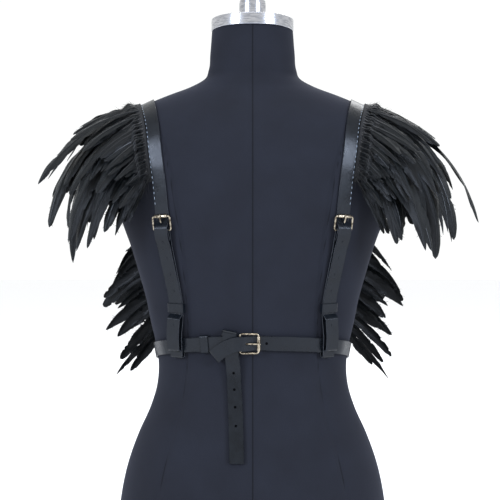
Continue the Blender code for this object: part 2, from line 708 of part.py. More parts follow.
def feather_row(name, course, start, end, fan, row, finish, mirrored, seed, facing_share):
    """A tape at the strap's outer edge with separate feathers that grow out of its outer side."""
    layer, length_share, lift, blade_width, count = row
    count = int(count)
    chance = np.random.default_rng(seed)
    middles = np.linspace(start + 0.004, end - 0.004, count)
    places = np.stack((middles - ROOT_WIDTH / 2, middles + ROOT_WIDTH / 2), axis=1).ravel()
    off = SNUG + TAPE_WALL / 2 + layer * (TAPE_WALL + GAP)
    centre, across = course.lift(places, np.full(len(places), off))
    normal = unit(course.take(course.normal, places))
    outward = across * np.sign(across[:, :1] + 1e-9)
    inner = centre + outward * (STRAP_WIDTH / 2 + GAP)
    outer = inner + outward * TAPE_WIDTH
    half = normal * TAPE_WALL / 2
    corners = np.stack((inner - half, outer - half, outer + half, inner + half), axis=1)
    points = list(corners.reshape(-1, 3))
    faces = [(3, 2, 1, 0)]
    last = len(places) - 1
    faces.append(tuple(4 * last + k for k in range(4)))
    for i in range(last):
        here, there = 4 * i, 4 * (i + 1)
        for side in range(4):
            if side == 1 and i % 2 == 0:
                continue
            after = (side + 1) % 4
            faces.append((here + side, here + after, there + after, there + side))
    for k in range(count):
        first, second = 4 * (2 * k), 4 * (2 * k + 1)
        ring = [first + 1, second + 1, second + 2, first + 2]
        share = k / (count - 1)
        heading, root_pitch, tip_pitch, length = smooth(share, fan[:, 0], fan[:, 1:])[0]
        length *= length_share * chance.uniform(0.90, 1.06)
        heading += chance.uniform(-1.0, 1.0)
        root = (outer[2 * k] + outer[2 * k + 1]) / 2
        tape_way = unit(outer[2 * k + 1] - outer[2 * k])
        rise = normal[2 * k]
        bend = (tip_pitch - root_pitch) * length_share
        raised = lift * (1 + END_LIFT * abs(2 * share - 1) ** 2)
        line = blade_line(root, heading, root_pitch, root_pitch + bend, length, rise, raised)
        run_out = np.linspace(0, length, len(line))
        top_room = TOP_ROOM[int(layer)]
        row_room = top_room + (1 - top_room) * ease(abs(2 * share - 1), 0.15, 0.85)
        room_at_root = ROOM_AT_ROOT + (1 - ROOM_AT_ROOT) * ease(run_out, 0, 0.02)
        room = (ROOM + ROOM_STEP * layer * row_room) * room_at_root
        line[1:] = clear_of_form(line, room)[1:]
        at = np.linspace(0, 1, len(line))
        middle = np.stack([np.interp(BLADE_PLACES, at, line[:, axis]) for axis in range(3)], axis=1)
        ways = unit(np.gradient(line, axis=0))
        way = unit(np.stack([np.interp(BLADE_PLACES, at, ways[:, axis]) for axis in range(3)], axis=1))
        forward = 2 * ease(share, 0.50, 0.95) - 1
        facing = unit(np.array((0.45, 0.85 * forward, 0.25)))
        skin = form_normal(middle)
        small = 1e-3
        away = form_level(middle) * small / (form_level(middle + small * skin) - form_level(middle))
        close = np.exp(-(away / 0.035) ** 2)
        turned_over = np.sign(np.cross(tape_way, rise) @ outward[2 * k])
        for j in range(1, len(BLADE_PLACES) - 1):
            u = BLADE_PLACES[j]
            face = unit(rise * (1 - close[j]) + skin[j] * close[j])
            turn_share = facing_share * u * u * (1 - close[j])
            face = unit(face * (1 - turn_share) + facing * turn_share)
            flat = unit(face - (face @ way[j]) * way[j])
            wide = unit(np.cross(flat, way[j])) * turned_over
            tilt = LOUVRE * min(1.0, 3 * u)
            slender = float(0.5 + 0.5 * ease(share, 0, 0.12))
            width = blade_width * slender * min(1.0, 0.45 + 0.55 * length / LONG_BLADE) * BLADE_WIDTHS[j]
            side = (wide * math.cos(tilt) + flat * math.sin(tilt)) * width / 2
            deep = (flat * math.cos(tilt) - wide * math.sin(tilt)) * BLADE_WALLS[j] / 2
            base = len(points)
            points += [middle[j] - side - deep, middle[j] + side - deep,
                       middle[j] + side + deep, middle[j] - side + deep]
            new = [base, base + 1, base + 2, base + 3]
            for side_index in range(4):
                after = (side_index + 1) % 4
                faces.append((ring[side_index], ring[after], new[after], new[side_index]))
            ring = new
        points.append(middle[-1])
        tip = len(points) - 1
        for side_index in range(4):
            faces.append((ring[side_index], ring[(side_index + 1) % 4], tip))
    solid(name, flip(np.array(points), mirrored), faces, finish)


def wings(course, side, finish):
    mirrored = side == "left"
    behind, before = course_places(course)
    wing_start, wing_end = behind(0.478), before(0.515)
    front_start, front_end = before(0.442), before(0.300)
    for number, row in enumerate(WING_ROWS):
        inset = TAPE_INSET * number
        feather_row(f"wing_feathers_{number + 1}_{side}", course, wing_start + inset, wing_end - inset,
                    WING_FAN, row, finish, mirrored, 11 + number, 0.7)
    for number, row in enumerate(FRONT_ROWS):
        feather_row(f"front_feathers_{number + 1}_{side}", course, front_start, front_end, FRONT_FAN, row,
                    finish, mirrored, 31 + number, 0.0)


# Dress form

def dress_form(cloth, metal):
    heights = np.interp(np.linspace(0, 1, FORM_RINGS), (0.0, 0.55, 0.72, 0.93, 1.0),
                        (0.0, 0.42, 0.545, 0.615, FORM_LEVELS[-1, 0]))
    angle = math.tau * np.arange(FORM_SIDES) / FORM_SIDES
    rings = []
    for z in heights:
        half, back, front, square = smooth(z, FORM_LEVELS[:, 0], FORM_LEVELS[:, 1:])[0]
        x = half * np.sign(np.cos(angle)) * np.abs(np.cos(angle)) ** (2 / square)
        depth = np.where(np.sin(angle) < 0, back, front)
        y = depth * np.sign(np.sin(angle)) * np.abs(np.sin(angle)) ** (2 / square)
        for _ in range(8):
            y = np.where(np.sin(angle) > 0, depth * np.abs(np.sin(angle)) ** (2 / square)
                         + bust_rise(x, y, np.full(len(x), z)), y)
        rings.append(np.stack((x, y, np.full(len(x), z)), axis=1))
    solid("form_body", np.concatenate(rings), tube_faces(FORM_RINGS, FORM_SIDES), cloth)

    top = FORM_LEVELS[-1, 0] + GAP
    profile = ((CAP_RADIUS - 0.001, top), (CAP_RADIUS, top + 0.001), (CAP_RADIUS, top + CAP_BAND_HEIGHT - 0.001),
               (CAP_RADIUS - 0.001, top + CAP_BAND_HEIGHT), (CAP_RADIUS * 0.7, top + CAP_BAND_HEIGHT + 0.0035),
               (KNOB_RADIUS, top + CAP_BAND_HEIGHT + CAP_CROWN_RISE - 0.0008),
               (KNOB_RADIUS - 0.003, top + CAP_BAND_HEIGHT + CAP_CROWN_RISE - 0.0008))
    turned("neck_cap", profile, 36, metal)
    seat_height = top + CAP_BAND_HEIGHT + CAP_CROWN_RISE - 0.0008 + GAP
    profile = ((KNOB_RADIUS * 0.86, seat_height), (KNOB_RADIUS, seat_height + 0.002),
               (KNOB_RADIUS, seat_height + KNOB_HEIGHT * 0.55), (KNOB_RADIUS * 0.86, seat_height + KNOB_HEIGHT * 0.8),
               (KNOB_RADIUS * 0.5, seat_height + KNOB_HEIGHT * 0.96), (KNOB_RADIUS * 0.15, seat_height + KNOB_HEIGHT))
    turned("neck_knob", profile, 24, metal)


def turned(name, profile, sides, finish):
    """A turned solid: a row of the profile gives radius and height, from the bottom up."""
    angle = math.tau * np.arange(sides) / sides
    rings = [np.stack((r * np.cos(angle), r * np.sin(angle), 0 * angle + z), axis=1) for r, z in profile]
    solid(name, np.concatenate(rings), tube_faces(len(profile), sides), finish)


def main():
    for old in list(bpy.data.objects):
        bpy.data.objects.remove(old, do_unlink=True)
    leather = material("black_leather", (0.010, 0.011, 0.013), 0.32)
    brass = material("antique_brass", (0.42, 0.36, 0.28), 0.35, 1.0)
    feather = material("black_feather", (0.006, 0.007, 0.008), 0.45)
    jersey = material("black_jersey", (0.020, 0.020, 0.024), 0.85)
    chrome = material("chrome", (0.78, 0.78, 0.78), 0.18, 1.0)
    dress_form(jersey, chrome)
    course = shoulder_course()
    for side in ("left", "right"):
        shoulder_pieces(course, side, leather, brass)
        wings(course, side, feather)
    belt_pieces(belt_course(), leather, brass)


main()
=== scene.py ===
import logging
import math
from dataclasses import dataclass, field
from enum import Enum
from typing import Callable

import bmesh
import bpy
import numpy as np
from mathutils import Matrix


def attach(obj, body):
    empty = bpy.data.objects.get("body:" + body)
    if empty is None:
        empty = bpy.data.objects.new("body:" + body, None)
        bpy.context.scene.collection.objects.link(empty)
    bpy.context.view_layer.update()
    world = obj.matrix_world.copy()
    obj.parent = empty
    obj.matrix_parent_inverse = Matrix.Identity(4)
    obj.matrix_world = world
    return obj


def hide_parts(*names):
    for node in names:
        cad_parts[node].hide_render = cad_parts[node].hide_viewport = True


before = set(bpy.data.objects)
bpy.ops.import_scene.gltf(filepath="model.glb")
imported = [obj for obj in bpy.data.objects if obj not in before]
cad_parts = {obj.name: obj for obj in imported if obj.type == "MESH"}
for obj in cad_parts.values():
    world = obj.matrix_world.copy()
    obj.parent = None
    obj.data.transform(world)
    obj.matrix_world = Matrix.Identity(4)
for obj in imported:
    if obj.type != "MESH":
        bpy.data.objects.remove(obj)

LOG = logging.getLogger("harness")


class Side(Enum):
    """A side of the body, seen from behind."""

    LEFT = "left"
    RIGHT = "right"

    @property
    def mirrored(self) -> bool:
        """Pieces are worked out for +X, so the left ones are mirrored."""
        return self is Side.LEFT


# ---- Sums on whole arrays ----

def smooth(at: np.ndarray, known: np.ndarray, values: np.ndarray) -> np.ndarray:
    """A cubic through a table's points, each slope taken from its neighbours.

    Args:
        at: the places to read.
        known: the table's places, growing.
        values: a value, or a row of them, for each place.
    Returns:
        (1+2u)(1-u)^2 v0 + u(1-u)^2 h m0 + u^2(3-2u) v1 + u^2(u-1) h m1 in each span of length h.
    """
    at = np.clip(np.atleast_1d(np.asarray(at, float)), known[0], known[-1])
    slope = np.gradient(values, known, axis=0)
    left = np.clip(np.searchsorted(known, at, side="right") - 1, 0, len(known) - 2)
    step = known[left + 1] - known[left]
    u = (at - known[left]) / step
    if values.ndim == 2:
        u, step = u[:, None], step[:, None]
    return ((1 + 2 * u) * (1 - u) ** 2 * values[left] + u * (1 - u) ** 2 * step * slope[left]
            + u * u * (3 - 2 * u) * values[left + 1] + u * u * (u - 1) * step * slope[left + 1])


def unit(vectors: np.ndarray) -> np.ndarray:
    """Each vector divided by its length."""
    return vectors / np.maximum(np.linalg.norm(vectors, axis=-1, keepdims=True), 1e-12)


def ease(value: np.ndarray, start: float, end: float) -> np.ndarray:
    """0 before start, 1 after end, and u^2 (3 - 2u) between them."""
    u = np.clip((value - start) / (end - start), 0.0, 1.0)
    return u * u * (3 - 2 * u)


def dot(a: np.ndarray, b: np.ndarray) -> np.ndarray:
    """The scalar products of two arrays of vectors, with a last axis of length 1."""
    return np.sum(a * b, axis=-1, keepdims=True)


# ---- Meshes ----

def grid_faces(rows: int, columns: int, closed_rows: bool = False,
               closed_columns: bool = False) -> np.ndarray:
    """Quads over a grid of points that are numbered row by row.

    Args:
        rows: rows of points.
        columns: points in a row.
        closed_rows: the last row joins the first.
        closed_columns: the last point of a row joins its first.
    Returns:
        The corners' numbers, a row for each quad.
    """
    row = np.arange(rows if closed_rows else rows - 1)[:, None]
    column = np.arange(columns if closed_columns else columns - 1)[None, :]
    after_row, after_column = (row + 1) % rows, (column + 1) % columns
    corners = (row * columns + column, row * columns + after_column,
               after_row * columns + after_column, after_row * columns + column)
    shape = np.broadcast_shapes(row.shape, column.shape)
    return np.stack([np.broadcast_to(c, shape).ravel() for c in corners], 1)


class Patchwork:
    """Collects surfaces, each with its own finish, and sews them into one mesh."""

    def __init__(self) -> None:
        """Starts with nothing in it."""
        self.points: list[np.ndarray] = []
        self.marks: list[np.ndarray] = []
        self.faces: list[list[int]] = []
        self.finishes: list[int] = []
        self.count = 0

    def add(self, points: np.ndarray, faces: np.ndarray, finish: int = 0, marks: np.ndarray | None = None,
            caps: list[list[int]] | None = None) -> None:
        """Adds one surface, or a stack of surfaces of the same layout.

        Args:
            points: (..., points, 3) places; each leading index is one more surface.
            faces: quads on one surface's own numbering.
            finish: the number of the finish.
            marks: (..., points, 2) the two numbers that the finish's pattern follows, kept as UV.
            caps: further faces on one surface's numbering, that close its ends.
        """
        each = points.shape[-2]
        stack = int(np.prod(points.shape[:-2], dtype=int))
        points = points.reshape(-1, 3)
        marks = np.zeros((len(points), 2)) if marks is None else marks.reshape(-1, 2)
        start = self.count + each * np.arange(stack)
        every = (faces[None] + start[:, None, None]).reshape(-1, faces.shape[1])
        self.faces += every.tolist()
        extra = [[index + int(first) for index in cap] for first in start for cap in (caps or [])]
        self.faces += extra
        self.finishes += [finish] * (len(every) + len(extra))
        self.points.append(points)
        self.marks.append(marks)
        self.count += len(points)

    def sew(self, name: str, finishes: list[bpy.types.Material], mirrored: bool = False,
            sharp: float = 40.0) -> bpy.types.Object:
        """Makes the object.

        Args:
            name: the piece's name.
            finishes: the materials, in the order of the finish numbers.
            mirrored: the piece is turned over to -X.
            sharp: edges that turn more than this many degrees stay crisp.
        Returns:
            The object, at the origin.
        """
        points = np.concatenate(self.points)
        marks = np.concatenate(self.marks)
        faces = self.faces
        if mirrored:
            points = points * np.array((-1.0, 1.0, 1.0))
            faces = [face[::-1] for face in faces]
        mesh = bpy.data.meshes.new(name)
        mesh.from_pydata(points, [], faces)
        corner = np.empty(len(mesh.loops), dtype=np.int32)
        mesh.loops.foreach_get("vertex_index", corner)
        mesh.uv_layers.new(name="marks").data.foreach_set("uv", marks[corner].astype(np.float32).ravel())
        mesh.polygons.foreach_set("material_index", np.array(self.finishes, dtype=np.int32))
        for finish in finishes:
            mesh.materials.append(finish)
        mesh.shade_smooth()
        mesh.set_sharp_from_angle(angle=math.radians(sharp))
        made = bpy.data.objects.new(name, mesh)
        bpy.context.scene.collection.objects.link(made)
        return made


def settle(piece: bpy.types.Object, slot: str, *nodes: str) -> bpy.types.Object:
    """Says what a piece stands for and what it rides on: hides those CAD nodes and attaches it to the root."""
    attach(piece, "root")
    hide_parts(*nodes)
    LOG.info("%s: %d faces", piece.name, len(piece.data.polygons))
    return piece


# ---- The dress form's surface ----

@dataclass(frozen=True)
class FormSurface:
    """The limbless form: superellipse sections, |x/a|^n + |y/b|^n = 1, with a bust on the front."""

    # columns: height, half width, back depth, front depth, squareness n
    levels: np.ndarray = field(default_factory=lambda: np.array((
        (0.000, 0.1650, 0.116, 0.097, 2.15), (0.045, 0.1665, 0.120, 0.100, 2.15),
        (0.086, 0.1635, 0.119, 0.101, 2.15), (0.136, 0.1535, 0.111, 0.100, 2.12),
        (0.171, 0.1410, 0.101, 0.097, 2.10), (0.204, 0.1262, 0.091, 0.092, 2.08),
        (0.229, 0.1186, 0.084, 0.088, 2.05), (0.260, 0.1165, 0.080, 0.086, 2.05),
        (0.283, 0.1200, 0.081, 0.088, 2.08), (0.310, 0.1262, 0.084, 0.093, 2.12),
        (0.335, 0.1311, 0.087, 0.100, 2.15), (0.360, 0.1380, 0.090, 0.107, 2.18),
        (0.403, 0.1510, 0.096, 0.112, 2.20), (0.434, 0.1620, 0.100, 0.111, 2.25),
        (0.470, 0.1700, 0.102, 0.104, 2.30), (0.505, 0.1730, 0.102, 0.094, 2.30),
        (0.535, 0.1700, 0.097, 0.083, 2.25), (0.557, 0.1590, 0.088, 0.074, 2.20),
        (0.573, 0.1380, 0.076, 0.066, 2.15), (0.586, 0.1090, 0.065, 0.059, 2.10),
        (0.597, 0.0800, 0.056, 0.054, 2.05), (0.608, 0.0600, 0.051, 0.051, 2.00),
        (0.620, 0.0545, 0.0500, 0.0500, 2.00), (0.640, 0.0525, 0.0495, 0.0495, 2.00),
        (0.668, 0.0503, 0.0490, 0.0490, 2.00))))
    bust_height: float = 0.432
    bust_side: float = 0.074
    bust_spread: float = 0.050
    bust_rise: float = 0.024

    def bust(self, x: np.ndarray, y: np.ndarray, z: np.ndarray) -> np.ndarray:
        """How far the bust stands out: a bell curve sideways times one in height, eased in from the side."""
        side = np.exp(-((np.abs(x) - self.bust_side) / self.bust_spread) ** 2)
        level = np.exp(-((z - self.bust_height) / self.bust_spread) ** 2)
        return self.bust_rise * side * level * ease(y, 0.0, 0.07)

    def level(self, p: np.ndarray) -> np.ndarray:
        """|x/a|^n + |y/b|^n - 1 at points (..., 3): above 0 outside the form."""
        flat = p.reshape(-1, 3)
        x, y, z = flat.T
        half, back, front, square = smooth(z, self.levels[:, 0], self.levels[:, 1:]).T
        y = y - self.bust(x, y, z)
        depth = np.where(y < 0, back, front)
        return ((np.abs(x) / half) ** square + (np.abs(y) / depth) ** square - 1).reshape(p.shape[:-1])

    def normal(self, p: np.ndarray) -> np.ndarray:
        """The outward direction at points (..., 3), from central differences of level."""
        small = 2e-4
        slopes = [self.level(p + small * axis) - self.level(p - small * axis) for axis in np.eye(3)]
        return unit(np.stack(slopes, axis=-1))

    def distance(self, p: np.ndarray) -> np.ndarray:
        """About how far points (..., 3) stand off the form: level divided by its slope outwards."""
        small = 1e-3
        level = self.level(p)
        return level * small / (self.level(p + small * self.normal(p)) - level)

    def seat(self, origin: np.ndarray, direction: np.ndarray) -> np.ndarray:
        """Where rays from inside meet the surface, by halving.

        Args:
            origin: (n, 3) starts, inside the form.
            direction: (n, 3) unit directions.
        Returns:
            (n, 3) points of the surface.
        """
        near, far = np.zeros(len(origin)), np.full(len(origin), 0.25)
        for _ in range(36):
            middle = (near + far) / 2
            outside = self.level(origin + middle[:, None] * direction) > 0
            far, near = np.where(outside, middle, far), np.where(outside, near, middle)
        return origin + far[:, None] * direction

    def on_back(self, x: np.ndarray, z: np.ndarray) -> np.ndarray:
        """Points of the back at sideways places x and heights z."""
        origin = np.stack((x, 0 * x, z), axis=1)
        return self.seat(origin, np.tile((0.0, -1.0, 0.0), (len(x), 1)))

    def clear(self, p: np.ndarray, room: np.ndarray) -> np.ndarray:
        """Moves points (..., 3) that are nearer to the form than room straight out of it."""
        p = p.copy()
        for _ in range(8):
            short = room - self.distance(p)
            push = (short > 0) & (p[..., 2] < 0.60)
            p += np.where(push, short * 0.8, 0.0)[..., None] * self.normal(p)
        return p


FORM = FormSurface()


class Course:
    """A line on the form with its distance along, its outward normals and its crosswise directions."""

    def __init__(self, points: np.ndarray, closed: bool = False) -> None:
        """Works out the directions.

        Args:
            points: (n, 3) points of the form's surface.
            closed: the line goes all the way round.
        """
        self.closed = closed
        self.points = points
        self.along = np.concatenate(((0.0,), np.cumsum(np.linalg.norm(np.diff(points, axis=0), axis=1))))
        self.total = float(self.along[-1])
        self.normal = FORM.normal(points)
        self.heading = unit(np.gradient(points, self.along, axis=0))
        self.across = unit(np.cross(self.heading, self.normal))

    def take(self, values: np.ndarray, s: np.ndarray) -> np.ndarray:
        """The values at the distances s, straight between the line's points."""
        s = np.mod(s, self.total) if self.closed else np.asarray(s, float)
        return np.stack([np.interp(s, self.along, values[:, k]) for k in range(3)], axis=1)

    def lift(self, s: np.ndarray, off: np.ndarray) -> tuple[np.ndarray, np.ndarray]:
        """Points at the distances s, off above the form, and their crosswise directions."""
        s, off = np.asarray(s, float), np.asarray(off, float)
        centre = self.take(self.points, s) + off[:, None] * unit(self.take(self.normal, s))
        return centre, unit(self.take(self.across, s))

    def places(self) -> tuple[Callable[[float], float], Callable[[float], float]]:
        """Functions from a height to the distance along, at the back and at the front."""
        top = int(np.argmax(self.points[:, 2]))
        back, front = self.points[:top, 2], self.points[top:, 2][::-1]
        return (lambda height: float(np.interp(height, back, self.along[:top])),
                lambda height: float(np.interp(height, front, self.along[top:][::-1])))


def arc(centre_s: float, centre_off: float, radius: float, start: float, end: float) -> tuple:
    """Distances s + r sin(a) and offs o + r cos(a) along an arc, its angles in degrees from straight out."""
    angle = np.radians(np.linspace(start, end, 40))
    return centre_s + radius * np.sin(angle), centre_off + radius * np.cos(angle)


def run(*stops: tuple[float, float]) -> tuple:
    """Distances and offs between stops, off eased as u^2 (3 - 2u), about every 0.8 mm."""
    table = np.array(stops)
    known = np.arange(len(table), dtype=float)
    counts = np.maximum(4, (np.abs(np.diff(table[:, 0])) / 0.0008).astype(int))
    at = np.concatenate([i + np.arange(n) / n for i, n in enumerate(counts)] + [known[-1:]])
    eased = np.floor(at) + ease(at - np.floor(at), 0.0, 1.0)
    return np.interp(at, known, table[:, 0]), np.interp(eased, known, table[:, 1])


def joined(*parts: tuple) -> tuple:
    """Parts of a path, each of distances and offs, laid end to end."""
    return np.concatenate([p[0] for p in parts]), np.concatenate([p[1] for p in parts])


# ---- Finishes ----

def linear(code: str) -> tuple[float, float, float, float]:
    """An sRGB hex colour turned linear: ((c + 0.055) / 1.055)^2.4, or c / 12.92 up to 0.04045."""
    parts = [int(code[i:i + 2], 16) / 255 for i in (1, 3, 5)]
    return (*[c / 12.92 if c <= 0.04045 else ((c + 0.055) / 1.055) ** 2.4 for c in parts], 1.0)


class Board:
    """A material with its shader and one way to add a node."""

    def __init__(self, name: str, **sockets: object) -> None:
        """Makes the material.

        Args:
            name: the material's name.
            sockets: values of the shader's own sockets, with _ for a space in their names.
        """
        self.material = bpy.data.materials.new(name)
        self.material.use_nodes = True
        self.tree = self.material.node_tree
        self.shader = self.tree.nodes["Principled BSDF"]
        for key, value in sockets.items():
            self.shader.inputs[key.replace("_", " ")].default_value = value

    def add(self, kind: str, settings: dict | None = None, links: dict | None = None) -> bpy.types.Node:
        """Adds a node.

        Args:
            kind: its type, without the leading ShaderNode.
            settings: values by property name, or by the name or number of an input.
            links: the sockets that feed its inputs.
        Returns:
            The node.
        """
        node = self.tree.nodes.new("ShaderNode" + kind)
        for key, value in (settings or {}).items():
            if isinstance(key, str) and hasattr(node, key):
                setattr(node, key, value)
            else:
                node.inputs[key].default_value = value
        for key, source in (links or {}).items():
            self.tree.links.new(source, node.inputs[key])
        return node

    def feed(self, socket: str, source: bpy.types.NodeSocket) -> None:
        """Links a pattern to one of the shader's inputs."""
        self.tree.links.new(source, self.shader.inputs[socket])


def per_mm(size: float) -> float:
    """The scale of a pattern on coordinates in metres whose features are size millimetres."""
    return 1000.0 / size


@dataclass(frozen=True)
class Jersey:
    """Cotton jersey stretched over the form: matt black knit, faintly blue, with pressed seams.

    The eye gets a soft, even surface that turns a little lighter at its edges, with thin dark seam lines.
    """

    colour: str = "#131419"
    worn: str = "#1a1c23"
    seam: str = "#0b0c10"
    knit_mm: float = 1.6  # real loops are 0.6 mm, drawn coarser so that they show

    def make(self) -> bpy.types.Material:
        """Returns the material."""
        b = Board("jersey_knit", Roughness=0.88, Sheen_Weight=0.07, Sheen_Roughness=0.45,
                  Sheen_Tint=linear("#8f97b8"), Specular_IOR_Level=0.12)
        place = b.add("TexCoord").outputs["Object"]
        marks = b.add("SeparateXYZ", links={0: b.add("TexCoord").outputs["UV"]})
        cloud = b.add("TexNoise", {"Scale": per_mm(45), "Detail": 3.0}, {"Vector": place})
        loops = b.add("TexNoise", {"Scale": per_mm(self.knit_mm), "Detail": 2.0}, {"Vector": place})
        tone = b.add("Mix", {"data_type": "RGBA", 6: linear(self.colour), 7: linear(self.worn)},
                     {0: cloud.outputs[0]})
        # marks: distance to the nearest seam in metres along U
        near = b.add("MapRange", {"interpolation_type": "SMOOTHSTEP", "From Min": 0.0003, "From Max": 0.0014,
                                  "To Min": 1.0, "To Max": 0.0}, {"Value": marks.outputs[0]})
        wide = b.add("MapRange", {"interpolation_type": "SMOOTHSTEP", "From Min": 0.0, "From Max": 0.0060,
                                  "To Min": 1.0, "To Max": 0.0}, {"Value": marks.outputs[0]})
        ink = b.add("Mix", {"data_type": "RGBA", 7: linear(self.seam)},
                    {0: near.outputs[0], 6: tone.outputs[2]})
        b.feed("Base Color", ink.outputs[2])
        fine = b.add("Bump", {"Strength": 0.35, "Distance": 0.0004}, {"Height": loops.outputs[0]})
        pressed = b.add("Bump", {"Strength": 0.8, "Distance": 0.0012, "invert": True},
                        {"Height": wide.outputs[0], "Normal": fine.outputs[0]})
        b.feed("Normal", pressed.outputs[0])
        return b.material


@dataclass(frozen=True)
class Leather:
    """Cowhide, black dyed and top coated: fine grain under a glossy finish, blue-grey in the light."""

    colour: str = "#06080b"
    lifted: str = "#0f1318"
    grain_mm: float = 1.1
    crease_mm: float = 14.0

    def make(self) -> bpy.types.Material:
        """Returns the material."""
        b = Board("glazed_cowhide", Specular_IOR_Level=0.15, Coat_Weight=0.09, Coat_Roughness=0.14,
                  Coat_Tint=linear("#d4e2f5"))
        place = b.add("TexCoord").outputs["Object"]
        grain = b.add("TexVoronoi", {"Scale": per_mm(self.grain_mm), "feature": "DISTANCE_TO_EDGE"},
                      {"Vector": place})
        crease = b.add("TexNoise", {"Scale": per_mm(self.crease_mm), "Detail": 4.0, "Roughness": 0.6},
                       {"Vector": place})
        tone = b.add("Mix", {"data_type": "RGBA", 6: linear(self.colour), 7: linear(self.lifted)},
                     {0: crease.outputs[0]})
        b.feed("Base Color", tone.outputs[2])
        rough = b.add("MapRange", {"From Min": 0.3, "From Max": 0.7, "To Min": 0.24, "To Max": 0.38},
                      {"Value": crease.outputs[0]})
        b.feed("Roughness", rough.outputs[0])
        pores = b.add("Bump", {"Strength": 0.25, "Distance": 0.0003}, {"Height": grain.outputs[0]})
        bent = b.add("Bump", {"Strength": 0.35, "Distance": 0.0016},
                     {"Height": crease.outputs[0], "Normal": pores.outputs[0]})
        b.feed("Normal", bent.outputs[0])
        return b.material


@dataclass(frozen=True)
class CutEdge:
    """The strap's cut edge, burnished: paler and a little rougher than the face, with the hide's layers. The
    paleness is partly the edge's own tone and partly a painted highlight where the rounded edges catch light.
    """

    # partly the edge's own tone, partly a painted highlight along the edges
    colour: str = "#2a2d33"
    dark: str = "#121316"

    def make(self) -> bpy.types.Material:
        """Returns the material."""
        b = Board("burnished_edge_painted_highlight", Roughness=0.42, Specular_IOR_Level=0.5)
        place = b.add("TexCoord").outputs["Object"]
        fibre = b.add("TexNoise", {"Scale": per_mm(2.2), "Detail": 3.0}, {"Vector": place})
        tone = b.add("Mix", {"data_type": "RGBA", 6: linear(self.dark), 7: linear(self.colour)},
                     {0: fibre.outputs[0]})
        b.feed("Base Color", tone.outputs[2])
        b.feed("Normal", b.add("Bump", {"Strength": 0.3, "Distance": 0.0003},
                               {"Height": fibre.outputs[0]}).outputs[0])
        return b.material


@dataclass(frozen=True)
class Metal:
    """A metal surface: its worn and bare colours, roughness and the size of its marks."""

    name: str
    bare: str
    worn: str
    smooth_rough: float
    worn_rough: float
    mark_mm: float
    stretch: tuple[float, float, float] = (1.0, 1.0, 1.0)

    def make(self) -> bpy.types.Material:
        """Returns the material."""
        b = Board(self.name, Metallic=1.0)
        place = b.add("TexCoord").outputs["Object"]
        drawn = b.add("Mapping", {"Scale": self.stretch}, {"Vector": place})
        marks = b.add("TexNoise", {"Scale": per_mm(self.mark_mm), "Detail": 4.0},
                      {"Vector": drawn.outputs[0]})
        share = b.add("MapRange", {"From Min": 0.40, "From Max": 0.62}, {"Value": marks.outputs[0]})
        tone = b.add("Mix", {"data_type": "RGBA", 6: linear(self.bare), 7: linear(self.worn)},
                     {0: share.outputs[0]})
        b.feed("Base Color", tone.outputs[2])
        rough = b.add("MapRange", {"To Min": self.smooth_rough, "To Max": self.worn_rough},
                      {"Value": share.outputs[0]})
        b.feed("Roughness", rough.outputs[0])
        b.feed("Normal", b.add("Bump", {"Strength": 0.12, "Distance": 0.0002},
                               {"Height": marks.outputs[0]}).outputs[0])
        return b.material


@dataclass(frozen=True)
class Vane:
    """A dyed cock's feather: black barbs that lie side by side, glossy, with a blue-green sheen.

    The eye gets fine slanting lines, a highlight that runs along each feather and a cold blue-green sheen at
    its edges, painted into the base colour where the surface is seen at a glancing angle.
    """

    colour: str = "#020304"
    # painted sheen: a blue-green mixed into the base colour at glancing angles
    painted_sheen: str = "#0a1418"
    barb_mm: float = 1.5  # real barbs are 0.4 mm apart, drawn coarser so that they show

    def make(self) -> bpy.types.Material:
        """Returns the material."""
        b = Board("dyed_feather_vane", Specular_IOR_Level=0.15, Coat_Weight=0.05, Coat_Roughness=0.24,
                  Coat_Tint=linear("#cfe4ee"))
        marks = b.add("TexCoord").outputs["UV"]
        # marks: U is the share of the width from edge to edge, V the run along the barbs in metres
        barbs = b.add("TexWave", {"Scale": per_mm(self.barb_mm) / 6.2832 * 3.1416, "Distortion": 1.2,
                                  "Detail": 2.0, "Detail Scale": 1.5, "bands_direction": "Y"},
                      {"Vector": marks})
        # painted sheen: the base colour turns blue-green as the surface turns to a glancing angle
        glancing = b.add("LayerWeight", {"Blend": 0.35})
        painted_sheen_tone = b.add("Mix", {"data_type": "RGBA", 6: linear(self.colour), 7: linear(self.painted_sheen)},
                     {0: glancing.outputs["Facing"]})
        shade = b.add("Mix", {"data_type": "RGBA", "blend_type": "MULTIPLY", 0: 0.45},
                      {6: painted_sheen_tone.outputs[2], 7: barbs.outputs[0]})
        b.feed("Base Color", shade.outputs[2])
        rough = b.add("MapRange", {"To Min": 0.46, "To Max": 0.30}, {"Value": barbs.outputs[1]})
        b.feed("Roughness", rough.outputs[0])
        b.feed("Normal", b.add("Bump", {"Strength": 0.45, "Distance": 0.0004},
                               {"Height": barbs.outputs[1]}).outputs[0])
        return b.material


@dataclass(frozen=True)
class Plain:
    """A small part's finish with a faint mottle: quills, down, tape and thread."""

    name: str
    colour: str
    dark: str
    roughness: float
    mottle_mm: float

    def make(self) -> bpy.types.Material:
        """Returns the material."""
        b = Board(self.name, Roughness=self.roughness)
        place = b.add("TexCoord").outputs["Object"]
        mottle = b.add("TexNoise", {"Scale": per_mm(self.mottle_mm), "Detail": 2.0}, {"Vector": place})
        tone = b.add("Mix", {"data_type": "RGBA", 6: linear(self.dark), 7: linear(self.colour)},
                     {0: mottle.outputs[0]})
        b.feed("Base Color", tone.outputs[2])
        return b.material


